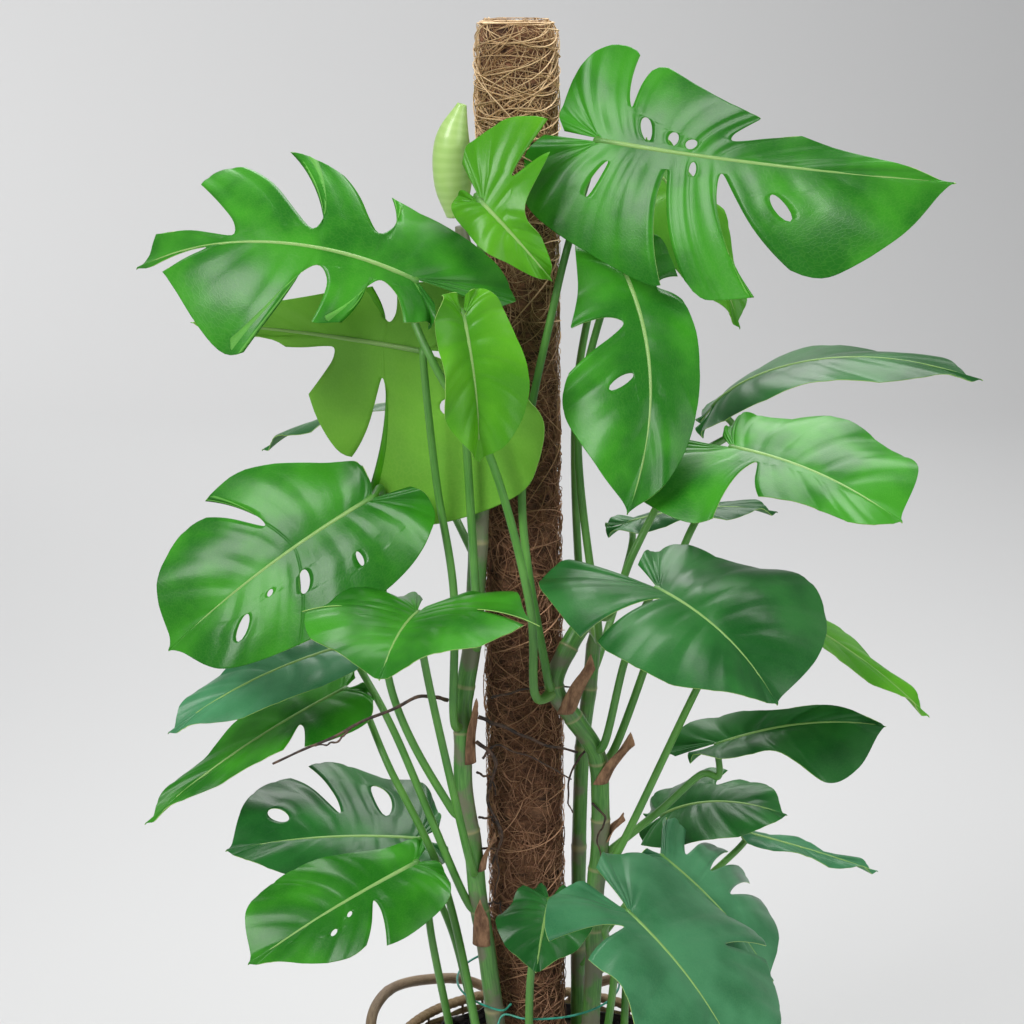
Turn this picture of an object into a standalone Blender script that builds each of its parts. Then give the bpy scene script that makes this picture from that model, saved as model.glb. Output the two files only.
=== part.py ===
"""A potted monstera on a coir pole: one object for every piece, in metres, +Z up.

The origin is the centre of the basket's underside. Everything that grows is placed
from the soil's surface, so the plant follows the basket when its height changes.
"""
import math

import bmesh
import bpy
import numpy as np

# Basket, liner and soil
BASKET_HEIGHT = 0.300
BASKET_RIM_RADIUS = 0.165
BASKET_FOOT_RADIUS = 0.128
BASKET_WALL = 0.008
RIM_ROLL_RADIUS = 0.006
HANDLE_RADIUS = 0.0065
LINER_WALL = 0.0015
LINER_BELOW_RIM = 0.008
SOIL_BELOW_RIM = 0.035

# Coir pole
POLE_RADIUS = 0.041
POLE_ABOVE_SOIL = 1.155
POLE_IN_SOIL = 0.200
POLE_FOOT = (-0.010, 0.0)
POLE_LEAN = -0.013

# The plant
STEM_RADIUS = 0.0105
BACK_STEM_RADIUS = 0.0085
STALK_RADIUS = 0.0042
KNEE_RADIUS = 0.0052
ROOT_RADIUS = 0.0022
BLADE_THICKNESS = 0.0016
WIRE_RADIUS = 0.0012
TIE_RADIUS = 0.0895
TIE_HEIGHT = 0.118
CLEARANCE = 0.0005

# How finely round things are drawn
TURNED_SEGMENTS = 40

SOIL_LEVEL = BASKET_HEIGHT - SOIL_BELOW_RIM


def clear_scene():
    for item in list(bpy.data.objects):
        bpy.data.objects.remove(item, do_unlink=True)


def material(name, colour, roughness):
    mat = bpy.data.materials.get(name) or bpy.data.materials.new(name)
    mat.use_nodes = True
    shader = mat.node_tree.nodes["Principled BSDF"]
    shader.inputs["Base Color"].default_value = (*colour, 1)
    shader.inputs["Roughness"].default_value = roughness
    shader.inputs["Metallic"].default_value = 0
    return mat


def mesh_object(name, points, faces, mat, smooth_angle=50):
    """One object from points and faces, its faces turned outward."""
    mesh = bpy.data.meshes.new(name)
    mesh.from_pydata([tuple(p) for p in points], [], faces)
    work = bmesh.new()
    work.from_mesh(mesh)
    bmesh.ops.remove_doubles(work, verts=work.verts, dist=0.00002)
    bmesh.ops.dissolve_degenerate(work, edges=work.edges, dist=0.00001)
    bmesh.ops.recalc_face_normals(work, faces=work.faces)
    work.to_mesh(mesh)
    work.free()
    mesh.shade_smooth()
    mesh.set_sharp_from_angle(angle=math.radians(smooth_angle))
    mesh.materials.append(mat)
    thing = bpy.data.objects.new(name, mesh)
    bpy.context.collection.objects.link(thing)
    return thing


def apply_modifiers(thing):
    """Replace an object's mesh with what its modifiers make of it."""
    graph = bpy.context.evaluated_depsgraph_get()
    made = bpy.data.meshes.new_from_object(thing.evaluated_get(graph))
    thing.modifiers.clear()
    thing.data = made


def boolean(thing, other, operation):
    """Join or cut with another object, which is removed afterwards."""
    modifier = thing.modifiers.new(operation.lower(), "BOOLEAN")
    modifier.operation = operation
    modifier.solver = "EXACT"
    modifier.object = other
    apply_modifiers(thing)
    bpy.data.objects.remove(other, do_unlink=True)


def spline(points, places):
    """A smooth curve through the points (Catmull-Rom), read at places from 0 to 1."""
    p = np.asarray(points, float)
    spans = len(p) - 1
    ext = np.vstack([2 * p[0] - p[1], p, 2 * p[-1] - p[-2]])
    s = np.clip(np.asarray(places, float), 0, 1) * spans
    i = np.minimum(s.astype(int), spans - 1)
    f = (s - i)[..., None]
    a, b, c, d = ext[i], ext[i + 1], ext[i + 2], ext[i + 3]
    bend = (2 * a - 5 * b + 4 * c - d) * f ** 2 + (3 * b - a - 3 * c + d) * f ** 3
    return 0.5 * (2 * b + (c - a) * f + bend)


def tube(name, path, radii, mat, sides=8):
    """A closed round bar along a path, its radius given once or for each point."""
    path = np.asarray(path, float)
    radii = np.broadcast_to(np.asarray(radii, float), len(path))
    along = np.gradient(path, axis=0)
    along /= np.linalg.norm(along, axis=1)[:, None]
    across = np.cross(along[0], (0.3, 0.9, 0.2))
    points = []
    for centre, tangent, radius in zip(path, along, radii):
        across = across - tangent * (across @ tangent)
        across /= np.linalg.norm(across)
        third = np.cross(tangent, across)
        for k in range(sides):
            angle = 2 * math.pi * k / sides
            points.append(centre + radius * (math.cos(angle) * across + math.sin(angle) * third))
    faces = [tuple(range(sides)), tuple(range(len(points) - sides, len(points)))]
    for ring in range(len(path) - 1):
        for k in range(sides):
            near, far = ring * sides, (ring + 1) * sides
            faces.append((near + k, near + (k + 1) % sides, far + (k + 1) % sides, far + k))
    return mesh_object(name, points, faces, mat, 70)


def turned(name, profile, mat, segments=TURNED_SEGMENTS, wave=None):
    """A solid turned about Z from a profile of (radius, height) that starts and ends on the axis."""
    points, faces = [], []
    rings = []
    for row, (radius, height) in enumerate(profile):
        if radius == 0:
            rings.append([len(points)])
            points.append((0, 0, height))
            continue
        ring = []
        for k in range(segments):
            angle = 2 * math.pi * k / segments
            r, z = (radius, height) if wave is None else wave(row, radius, height, angle)
            ring.append(len(points))
            points.append((r * math.cos(angle), r * math.sin(angle), z))
        rings.append(ring)
    for low, high in zip(rings, rings[1:]):
        for k in range(segments):
            n = (k + 1) % segments
            if len(low) == 1:
                faces.append((low[0], high[k], high[n]))
            elif len(high) == 1:
                faces.append((low[k], low[n], high[0]))
            else:
                faces.append((low[k], low[n], high[n], high[k]))
    return mesh_object(name, points, faces, mat, 40)


# ---------------------------------------------------------------- basket and its filling

def basket_radius(height):
    """Outer radius of the basket's wall, which widens evenly from foot to rim."""
    return BASKET_FOOT_RADIUS + (BASKET_RIM_RADIUS - BASKET_FOOT_RADIUS) * height / BASKET_HEIGHT


def make_basket():
    rim, roll = BASKET_RIM_RADIUS - BASKET_WALL / 2, RIM_ROLL_RADIUS
    profile = [(0, 0), (BASKET_FOOT_RADIUS - 0.004, 0), (BASKET_FOOT_RADIUS, 0.004)]
    profile += [(basket_radius(h), h) for h in (BASKET_HEIGHT / 3, BASKET_HEIGHT * 2 / 3)]
    start, stop = math.radians(-50), math.radians(230)
    for k in range(9):
        angle = start + (stop - start) * k / 8
        profile.append((rim + roll * math.cos(angle), BASKET_HEIGHT - roll + roll * math.sin(angle)))
    for h in (BASKET_HEIGHT * 2 / 3, BASKET_HEIGHT / 3, BASKET_WALL):
        profile.append((basket_radius(h) - BASKET_WALL, h))
    profile.append((0, BASKET_WALL))
    turned("basket", profile, material("rattan", (0.42, 0.28, 0.14), 0.6))


def make_handles():
    """Each handle rises outside the rim and runs back along it, low over the rim's roll."""
    outer = BASKET_RIM_RADIUS + HANDLE_RADIUS + RIM_ROLL_RADIUS
    low = BASKET_HEIGHT - 0.075
    for name, side in (("basket_handle_left", -1), ("basket_handle_right", 1)):
        route = []
        for angle, out, rise in ((-22, 0.000, low - BASKET_HEIGHT), (-19, 0.003, -0.035), (-13, 0.008, 0.005),
                                 (-2, 0.008, 0.036), (10, 0.002, 0.046), (26, 0.000, 0.040),
                                 (44, 0.000, 0.026), (60, 0.000, 0.012), (72, 0.000, -0.010),
                                 (80, 0.000, -0.040)):
            turn = math.radians(angle)
            reach = outer + out
            route.append((side * reach * math.cos(turn), reach * math.sin(turn), BASKET_HEIGHT + rise))
        path = spline(route, np.linspace(0, 1, 22))
        tube(name, path, HANDLE_RADIUS, material("rattan_handle", (0.45, 0.31, 0.17), 0.5), sides=9)


def liner_radius(height):
    """Outer radius of the liner: the basket's inside less a clearance."""
    return basket_radius(height) - BASKET_WALL - CLEARANCE


def make_liner():
    top = BASKET_HEIGHT - LINER_BELOW_RIM
    floor = BASKET_WALL + CLEARANCE
    heights = (floor + 0.004, BASKET_HEIGHT / 3, BASKET_HEIGHT * 2 / 3,
               SOIL_LEVEL + 0.003, SOIL_LEVEL + 0.014, top)
    profile = [(0, floor)] + [(liner_radius(h), h) for h in heights]
    profile += [(liner_radius(h) - LINER_WALL, h) for h in reversed(heights[1:])]
    profile += [(liner_radius(heights[0]) - LINER_WALL, floor + LINER_WALL), (0, floor + LINER_WALL)]

    def crumple(row, radius, height, angle):
        """Pleats in the free edge above the soil, all of them inward of the basket."""
        free = min(max((height - SOIL_LEVEL - 0.003) / (top - SOIL_LEVEL - 0.003), 0), 1)
        pleat = 0.5 + 0.25 * math.sin(7 * angle + 0.4) + 0.25 * math.sin(12 * angle + 1.9)
        sag = 0.5 + 0.5 * math.sin(5 * angle + 2.2)
        return radius - 0.008 * free * pleat - 0.003 * free, height - 0.007 * free * sag

    turned("liner", profile, material("black_film", (0.05, 0.05, 0.055), 0.35), wave=crumple)


def pole_axis(above_soil):
    """The pole's centre at a height over the soil: it leans very slightly to one side."""
    return np.array([POLE_FOOT[0] + POLE_LEAN * above_soil, POLE_FOOT[1], SOIL_LEVEL + above_soil])


def make_soil():
    floor = BASKET_WALL + 2 * CLEARANCE + LINER_WALL
    gap = LINER_WALL + CLEARANCE
    heights = (floor + 0.004, BASKET_HEIGHT / 3, BASKET_HEIGHT * 2 / 3, SOIL_LEVEL - 0.003)
    profile = [(0, floor)] + [(liner_radius(h) - gap, h) for h in heights]
    profile += [(liner_radius(SOIL_LEVEL) - gap - 0.004, SOIL_LEVEL), (0, SOIL_LEVEL)]
    soil = turned("soil", profile, material("potting_soil", (0.06, 0.04, 0.025), 0.95))
    bore = tube("soil_bore", [pole_axis(-POLE_IN_SOIL - CLEARANCE), pole_axis(0.03)], POLE_RADIUS + 0.001,
                material("potting_soil", (0.06, 0.04, 0.025), 0.95), sides=32)
    boolean(soil, bore, "DIFFERENCE")


def make_pole():
    heights = [-POLE_IN_SOIL, 0.0, POLE_ABOVE_SOIL * 0.5, POLE_ABOVE_SOIL - 0.012, POLE_ABOVE_SOIL - 0.004]
    radii = [POLE_RADIUS] * 4 + [POLE_RADIUS - 0.003]
    path = [pole_axis(h) for h in heights] + [pole_axis(POLE_ABOVE_SOIL)]
    coir = material("coir", (0.26, 0.15, 0.07), 0.9)
    tube("moss_pole", path, radii + [POLE_RADIUS - 0.010], coir, sides=32)


# ---------------------------------------------------------------- stems, roots, wire

STEM_LEFT = [(-0.045, -0.060, 0.001), (-0.045, -0.060, 0.075), (-0.055, -0.060, 0.170),
             (-0.065, -0.060, 0.240), (-0.070, -0.060, 0.295), (-0.080, -0.060, 0.365),
             (-0.080, -0.060, 0.420), (-0.080, -0.055, 0.460), (-0.070, -0.052, 0.525),
             (-0.066, -0.048, 0.590), (-0.062, -0.046, 0.670), (-0.062, -0.046, 0.755),
             (-0.064, -0.046, 0.840), (-0.074, -0.052, 0.910), (-0.080, -0.056, 0.955)]
STEM_RIGHT = [(0.055, -0.040, 0.001), (0.056, -0.040, 0.065), (0.060, -0.040, 0.160),
              (0.060, -0.040, 0.230), (0.065, -0.040, 0.290), (0.065, -0.042, 0.345),
              (0.060, -0.052, 0.400), (0.035, -0.064, 0.445), (0.015, -0.066, 0.480),
              (0.030, -0.058, 0.520), (0.055, -0.040, 0.555)]
STEM_BACK = [(0.045, 0.028, 0.001), (0.045, 0.028, 0.145), (0.045, 0.028, 0.265), (0.048, 0.028, 0.380),
             (0.055, 0.024, 0.450), (0.060, 0.020, 0.515)]
NEW_LEAF = [(-0.084, -0.058, 0.966), (-0.088, -0.064, 1.000), (-0.088, -0.068, 1.040),
            (-0.078, -0.070, 1.075)]
ROOTS = {
    "aerial_root_1": [(-0.096, -0.068, 0.465), (-0.125, -0.090, 0.475), (-0.195, -0.100, 0.445),
                      (-0.275, -0.110, 0.410)],
    "aerial_root_2": [(-0.064, -0.072, 0.448), (-0.040, -0.078, 0.440), (0.000, -0.066, 0.418),
                      (0.040, -0.060, 0.405)],
    "aerial_root_3": [(-0.066, -0.070, 0.420), (-0.045, -0.062, 0.395), (-0.056, -0.048, 0.350),
                      (-0.040, -0.056, 0.315), (-0.050, -0.048, 0.275)],
}


def above_soil(points):
    return np.asarray(points, float) + (0, 0, SOIL_LEVEL)


def make_stems():
    green = material("stem_green", (0.10, 0.25, 0.06), 0.4)
    for name, points, radius, count in (("stem_left", STEM_LEFT, STEM_RADIUS, 26),
                                        ("stem_right", STEM_RIGHT, STEM_RADIUS, 22),
                                        ("stem_back", STEM_BACK, BACK_STEM_RADIUS, 10)):
        radii = np.full(count, radius)
        radii[-1] = radius * 0.6
        tube(name, spline(above_soil(points), np.linspace(0, 1, count)), radii, green, sides=9)


def make_new_leaf():
    radii = spline([(0.010,), (0.019,), (0.017,), (0.005,)], np.linspace(0, 1, 9))[:, 0]
    path = spline(above_soil(NEW_LEAF), np.linspace(0, 1, 9))
    tube("new_leaf", path, radii, material("new_leaf_green", (0.45, 0.62, 0.16), 0.4), sides=12)


def make_roots():
    brown = material("root_brown", (0.09, 0.05, 0.03), 0.7)
    for name, points in ROOTS.items():
        radii = np.linspace(ROOT_RADIUS, ROOT_RADIUS * 0.6, 14)
        tube(name, spline(above_soil(points), np.linspace(0, 1, 14)), radii, brown, sides=6)


def make_tie():
    """A green wire: a little over one turn around pole and stems, its two ends crossed."""
    centre = (0.0, -0.006)
    route = [(-0.048, -0.104, TIE_HEIGHT - 0.022)]
    for angle in range(-116, 250, 15):
        turn = math.radians(angle)
        rise = 0.006 * (angle + 116) / 360
        route.append((centre[0] + TIE_RADIUS * math.cos(turn), centre[1] + TIE_RADIUS * math.sin(turn),
                      TIE_HEIGHT + rise))
    route.append((-0.030, -0.100, TIE_HEIGHT + 0.020))
    path = spline(above_soil(route), np.linspace(0, 1, 54))
    tube("tie_wire", path, WIRE_RADIUS, material("green_wire", (0.02, 0.30, 0.22), 0.4), sides=5)


# ---------------------------------------------------------------- leaves

def half(back, widths, fold, curl, cuts=()):
    """One side of a blade.

    back    how far its rear lobe reaches behind the stalk
    widths  how far it reaches out at 2, 34, 64 and 86 hundredths of the midrib
    fold    degrees that it rises from the midrib
    curl    degrees that it turns down between midrib and margin
    cuts    (vein, start, end, half width, drop): a window between two fingers. The vein is
            counted from 0 at the rear to 1 at the tip, start and end from 0 at the midrib
            to 1 at the margin. An end of 1 is an open slit, less is a closed hole.
    """
    return dict(back=back, widths=widths, fold=math.radians(fold), curl=math.radians(max(curl, 0.1)),
                cuts=sorted(cuts))


def leaf(junction, tip, stalk, left, right, roll=0, droop=30, bend=1.3, tuck=20, twist=0, gap=0.12, curve=0):
    """A blade from its junction with the stalk to its tip, and the points of its stalk."""
    return dict(junction=np.array(junction), tip=np.array(tip), stalk=stalk, left=left, right=right,
                roll=math.radians(roll), droop=math.radians(droop), bend=bend, tuck=math.radians(tuck),
                twist=math.radians(twist), gap=gap, curve=math.radians(curve))


LEAVES = {
    "leaf_01": leaf((0.055, -0.060, 1.040), (0.390, -0.160, 1.005),
                    [(0.006, -0.080, 0.500), (-0.020, -0.065, 0.690), (0.015, -0.060, 0.890)],
                    half(0.045, (0.100, 0.056, 0.026, 0.012), 10, 15,
                         [(0.405, 0.40, 1, 0.012), (0.435, 0.08, 0.36, 0.012), (0.49, 0.1, 0.32, 0.010),
                          (0.525, 0.1, 0.30, 0.010), (0.57, 0.5, 1, 0.022)]),
                    half(0.070, (0.108, 0.138, 0.112, 0.06), 0, 20,
                         [(0.365, 0.18, 0.55, 0.008), (0.49, 0.13, 1, 0.016), (0.54, 0.05, 0.16, 0.007),
                          (0.595, 0.12, 1, 0.030), (0.67, 0.3, 0.55, 0.010)]),
                    roll=66, droop=12, tuck=10, gap=0.03, curve=10),
    "leaf_02": leaf((0.115, 0.030, 1.010), (0.205, -0.010, 0.845),
                    [(0.045, 0.040, 0.540), (0.040, 0.035, 0.785)],
                    half(0.03, (0.05, 0.06, 0.04, 0.02), 10, 30, [(0.5, 0.5, 1, 0.03)]),
                    half(0.03, (0.07, 0.075, 0.05, 0.02), 10, 30), roll=20),
    "leaf_03": leaf((0.080, -0.068, 0.916), (0.083, -0.165, 0.685),
                    [(0.062, -0.010, 0.530), (0.040, -0.030, 0.745)],
                    half(0.03, (0.055, 0.05, 0.045, 0.025), 10, 30, [(0.43, 0.45, 1, 0.02)]),
                    half(0.045, (0.050, 0.085, 0.085, 0.04), 10, 30,
                         [(0.50, 0.22, 1, 0.05), (0.64, 0.2, 0.5, 0.012)]),
                    droop=25, curve=-45),
    "leaf_04": leaf((0.185, 0.050, 0.755), (0.460, 0.000, 0.790),
                    [(0.075, -0.020, 0.545), (0.100, -0.015, 0.610), (0.150, 0.010, 0.695)],
                    half(0.03, (0.06, 0.08, 0.06, 0.03), 5, 15),
                    half(0.03, (0.05, 0.06, 0.05, 0.025), -8, 15),
                    roll=2, droop=75, bend=0.55, tuck=-10),
    "leaf_05": leaf((0.190, -0.100, 0.740), (0.345, -0.200, 0.685),
                    [(0.082, -0.038, 0.405), (0.115, -0.035, 0.500), (0.150, -0.050, 0.630)],
                    half(0.02, (0.06, 0.085, 0.085, 0.07), 20, 25),
                    half(0.135, (0.11, 0.075, 0.045, 0.04), 0, 40, [(0.47, 0.2, 1, 0.045)]),
                    roll=15, tuck=-10),
    "leaf_06": leaf((0.105, 0.150, 0.605), (0.270, 0.150, 0.615), [(0.066, 0.040, 0.480)],
                    half(0.03, (0.03, 0.035, 0.03, 0.015), 10, 30),
                    half(0.03, (0.03, 0.035, 0.03, 0.015), 10, 30), roll=5),
    "leaf_07": leaf((0.115, -0.140, 0.605), (0.225, -0.240, 0.515),
                    [(0.068, -0.068, 0.420), (0.085, -0.075, 0.505)],
                    half(0.05, (0.10, 0.15, 0.14, 0.07), 20, 30),
                    half(0.10, (0.125, 0.13, 0.10, 0.05), 5, 35, [(0.4, 0.15, 1, 0.02)]), droop=40),
    "leaf_08": leaf((-0.119, -0.210, 0.600), (-0.150, -0.330, 0.568),
                    [(-0.074, -0.080, 0.290), (-0.103, -0.136, 0.455)],
                    half(0.08, (0.11, 0.14, 0.10, 0.05), 25, 50, [(0.5, 0.5, 1, 0.03)]),
                    half(0.07, (0.095, 0.11, 0.09, 0.045), 18, 35, [(0.5, 0.6, 1, 0.015)]), droop=40),
    "leaf_09": leaf((-0.172, -0.084, 0.684), (-0.378, -0.108, 0.530),
                    [(-0.096, -0.068, 0.350), (-0.155, -0.080, 0.490)],
                    half(0.05, (0.085, 0.095, 0.08, 0.055), 10, 20,
                         [(0.45, 0.45, 0.62, 0.006), (0.58, 0.3, 0.55, 0.014), (0.67, 0.3, 0.38, 0.008),
                          (0.73, 0.45, 0.75, 0.014)]),
                    half(0.01, (0.05, 0.10, 0.095, 0.06), 10, 30, [(0.59, 0.36, 1, 0.022)]),
                    roll=-60, droop=20, curve=8),
    "leaf_10": leaf((-0.205, 0.000, 0.505), (-0.390, -0.060, 0.425),
                    [(-0.080, -0.060, 0.245), (-0.150, -0.030, 0.410)],
                    half(0.03, (0.04, 0.05, 0.04, 0.02), 10, 30),
                    half(0.03, (0.04, 0.05, 0.04, 0.02), 10, 30), roll=-20),
    "leaf_11": leaf((-0.210, 0.020, 0.450), (-0.420, -0.050, 0.320),
                    [(-0.060, -0.075, 0.001), (-0.066, -0.078, 0.095), (-0.102, -0.046, 0.255),
                     (-0.162, -0.006, 0.370)],
                    half(0.02, (0.065, 0.055, 0.03, 0.015), 10, 30, [(0.5, 0.4, 1, 0.02)]),
                    half(0.02, (0.06, 0.05, 0.03, 0.015), 10, 30), roll=-15, droop=20),
    "leaf_12": leaf((-0.130, 0.000, 0.285), (-0.335, -0.050, 0.290),
                    [(-0.060, -0.030, 0.001), (-0.066, -0.030, 0.060), (-0.092, -0.020, 0.175)],
                    half(0.03, (0.05, 0.06, 0.05, 0.03), 10, 30, [(0.45, 0.4, 0.7, 0.03)]),
                    half(0.03, (0.10, 0.12, 0.12, 0.06), 10, 30,
                         [(0.45, 0.25, 0.7, 0.025), (0.6, 0.25, 1, 0.03), (0.75, 0.4, 0.7, 0.02)]),
                    roll=-25, droop=25),
    "leaf_13": leaf((-0.130, -0.080, 0.290), (-0.300, -0.160, 0.210),
                    [(-0.085, -0.055, 0.001), (-0.095, -0.060, 0.080), (-0.115, -0.085, 0.205)],
                    half(0.02, (0.06, 0.07, 0.05, 0.02), 10, 30,
                         [(0.54, 0.25, 1, 0.022), (0.62, 0.25, 0.36, 0.008), (0.655, 0.5, 0.62, 0.008)]),
                    half(0.02, (0.03, 0.05, 0.07, 0.05), 10, 30), roll=-35, droop=20),
    "leaf_14": leaf((0.010, -0.120, 0.265), (-0.005, -0.200, 0.220),
                    [(-0.010, -0.098, 0.001), (-0.012, -0.100, 0.105), (-0.008, -0.108, 0.190)],
                    half(0.02, (0.04, 0.05, 0.04, 0.02), 10, 30),
                    half(0.02, (0.04, 0.05, 0.04, 0.02), 10, 30)),
    "leaf_15": leaf((0.088, -0.180, 0.278), (0.198, -0.290, 0.152),
                    [(0.066, -0.078, 0.001), (0.070, -0.086, 0.080), (0.078, -0.130, 0.195)],
                    half(0.08, (0.14, 0.17, 0.15, 0.08), 10, 30, [(0.56, 0.5, 1, 0.02)]),
                    half(0.05, (0.13, 0.10, 0.11, 0.07), 10, 30, [(0.40, 0.25, 1, 0.04)]), roll=-10),
    "leaf_16": leaf((0.133, -0.025, 0.275), (0.252, -0.062, 0.145),
                    [(0.092, -0.030, 0.001), (0.094, -0.030, 0.060), (0.098, -0.032, 0.170)],
                    half(0.02, (0.105, 0.140, 0.150, 0.08), 10, 30,
                         [(0.42, 0.28, 1, 0.032), (0.53, 0.28, 1, 0.028), (0.64, 0.25, 1, 0.030)]),
                    half(0.02, (0.06, 0.065, 0.06, 0.04), 10, 20, [(0.5, 0.4, 1, 0.03)]), droop=25, gap=0.3),
    "leaf_17": leaf((0.144, 0.132, 0.261), (0.283, 0.092, 0.276), [(0.062, 0.034, 0.140)],
                    half(0.03, (0.05, 0.06, 0.05, 0.03), 10, 30, [(0.6, 0.5, 1, 0.03)]),
                    half(0.03, (0.05, 0.06, 0.05, 0.03), 10, 30), roll=25, droop=70, bend=0.9),
    "leaf_18": leaf((0.240, 0.120, 0.245), (0.390, 0.100, 0.205), [(0.060, 0.040, 0.100)],
                    half(0.02, (0.02, 0.025, 0.02, 0.01), 10, 30),
                    half(0.02, (0.02, 0.025, 0.02, 0.01), 10, 30), droop=5),
    "leaf_19": leaf((0.190, -0.020, 0.400), (0.365, -0.050, 0.430),
                    [(0.082, -0.036, 0.290), (0.130, -0.020, 0.325), (0.172, -0.018, 0.365)],
                    half(0.06, (0.05, 0.02, 0.02, 0.01), 35, 30),
                    half(0.03, (0.04, 0.04, 0.07, 0.05), 10, 30), twist=60),
    "leaf_20": leaf((0.235, 0.000, 0.555), (0.410, -0.050, 0.440),
                    [(0.080, -0.054, 0.285), (0.170, -0.020, 0.470)],
                    half(0.03, (0.04, 0.05, 0.04, 0.02), 10, 30),
                    half(0.03, (0.04, 0.05, 0.04, 0.02), 10, 30, [(0.5, 0.4, 1, 0.03, 0.02)]), droop=20),
    "leaf_21": leaf((-0.121, -0.150, 0.912), (-0.395, -0.110, 0.918),
                    [(-0.006, -0.094, 0.480), (-0.012, -0.104, 0.580), (-0.050, -0.130, 0.735),
                     (-0.099, -0.152, 0.823)],
                    half(0.03, (0.05, 0.08, 0.11, 0.02), -10, 30,
                         [(0.42, 0.25, 1, 0.06, 0.01), (0.56, 0.18, 1, 0.07), (0.80, 0.25, 1, 0.05)]),
                    half(0.11, (0.08, 0.100, 0.12, 0.05), 15, 30,
                         [(0.45, 0.35, 1, 0.045), (0.585, 0.16, 1, 0.060), (0.75, 0.16, 1, 0.050)]),
                    roll=-42, droop=75, bend=1),
    "leaf_22": leaf((-0.114, -0.090, 0.834), (-0.352, -0.060, 0.859),
                    [(-0.090, -0.074, 0.450), (-0.088, -0.080, 0.585), (-0.104, -0.092, 0.704)],
                    half(0.08, (0.07, 0.05, 0.03, 0.02), 12, 15, [(0.46, 0.4, 1, 0.03)]),
                    half(0.13, (0.19, 0.15, 0.02, 0.015), 14, 15,
                         [(0.3, 0.3, 0.4, 0.02), (0.47, 0.22, 1, 0.032), (0.60, 0.3, 1, 0.028)]),
                    roll=86),
    "leaf_23": leaf((-0.150, 0.100, 0.750), (-0.300, 0.080, 0.700), [(-0.072, -0.030, 0.620)],
                    half(0.03, (0.03, 0.05, 0.045, 0.025), 10, 30),
                    half(0.03, (0.03, 0.05, 0.045, 0.025), 10, 30), roll=10),
    "leaf_24": leaf((-0.076, -0.175, 0.884), (-0.061, -0.176, 0.739),
                    [(-0.064, -0.072, 0.540), (-0.074, -0.106, 0.748), (-0.082, -0.138, 0.835)],
                    half(0.02, (0.04, 0.05, 0.05, 0.025), 35, 30),
                    half(0.02, (0.035, 0.04, 0.04, 0.02), 35, 30), roll=60),
    "leaf_25": leaf((-0.060, -0.118, 0.985), (0.010, -0.124, 0.908), [(-0.057, -0.080, 0.885)],
                    half(0.05, (0.11, 0.03, 0.02, 0.01), 10, 20, [(0.37, 0.35, 1, 0.04)]),
                    half(0.02, (0.03, 0.03, 0.02, 0.01), 10, 30), roll=75, droop=40),
}
MIDRIB_STEPS = np.linspace(-0.8, 1.02, 140)
VEIN_SWEEP = 0.10
KNEE_HOLE = 0.0035
KNEE_SHARE = 0.28
REAR_TURN = math.radians(150)
WAVE = 0.005
WAVES_PER_HALF = 4.3
FINGER_TAPER = (0.12, 0.04)
ROWS_PER_REACH = 2.2
COLUMN_WIDTH = 0.2
STALK_SIDES = 7
KNEE_LENGTH = 0.035
KNEE_OVERRUN = 0.0035


def midrib(shape):
    """The midrib of unit length in its own axes: places, directions and up vectors.

    It bends down by `droop` and aside by `curve` toward the tip, and down by `tuck` toward the rear.
    """
    k = MIDRIB_STEPS
    pitch = np.where(k > 0, shape["droop"] * np.abs(k) ** shape["bend"], shape["tuck"] * k)
    yaw = shape["curve"] * np.clip(k, 0, 1)
    ahead = np.stack([np.cos(pitch) * np.cos(yaw), np.cos(pitch) * np.sin(yaw), -np.sin(pitch)], -1)
    up = np.stack([np.sin(pitch) * np.cos(yaw), np.sin(pitch) * np.sin(yaw), np.cos(pitch)], -1)
    places = np.vstack([np.zeros(3), np.cumsum((ahead[1:] + ahead[:-1]) / 2 * (k[1] - k[0]), 0)])
    places -= [np.interp(0, k, places[:, i]) for i in range(3)]
    return places, ahead, up


def leaf_axes(shape):
    """Rows ahead, left and up at the junction, and the midrib's length from junction to tip."""
    span = shape["tip"] - shape["junction"]
    reach = np.linalg.norm(span)
    chord = span / reach
    up = np.array([0, 0, 1.0]) - chord[2] * chord
    up /= np.linalg.norm(up)
    left = np.cross(up, chord)
    roll = shape["roll"]
    up, left = up * math.cos(roll) - left * math.sin(roll), left * math.cos(roll) + up * math.sin(roll)
    places = midrib(shape)[0]
    end = np.array([np.interp(1, MIDRIB_STEPS, places[:, i]) for i in range(3)])
    size = np.linalg.norm(end)
    own_chord = end / size
    own_left = np.cross((0, 0, 1), own_chord)
    own_left /= np.linalg.norm(own_left)
    own_up = np.cross(own_chord, own_left)
    return np.outer(own_chord, chord) + np.outer(own_left, left) + np.outer(own_up, up), reach / size


def outline(shape, part, length, u):
    """The margin of one half, from the gap behind the stalk (u = 0) to the tip (u = 1)."""
    back, wide = part["back"], part["widths"]
    most = max(wide)
    points = [(-0.80 * back, shape["gap"] * most), (-back, (shape["gap"] + 0.22) * most),
              (-0.80 * back, 0.70 * wide[0]), (0.02 * length, wide[0]), (0.34 * length, wide[1]),
              (0.64 * length, wide[2]), (0.86 * length, wide[3]), (0.965 * length, 0.15 * wide[3]),
              (length, 0)]
    return spline(points, u)


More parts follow.
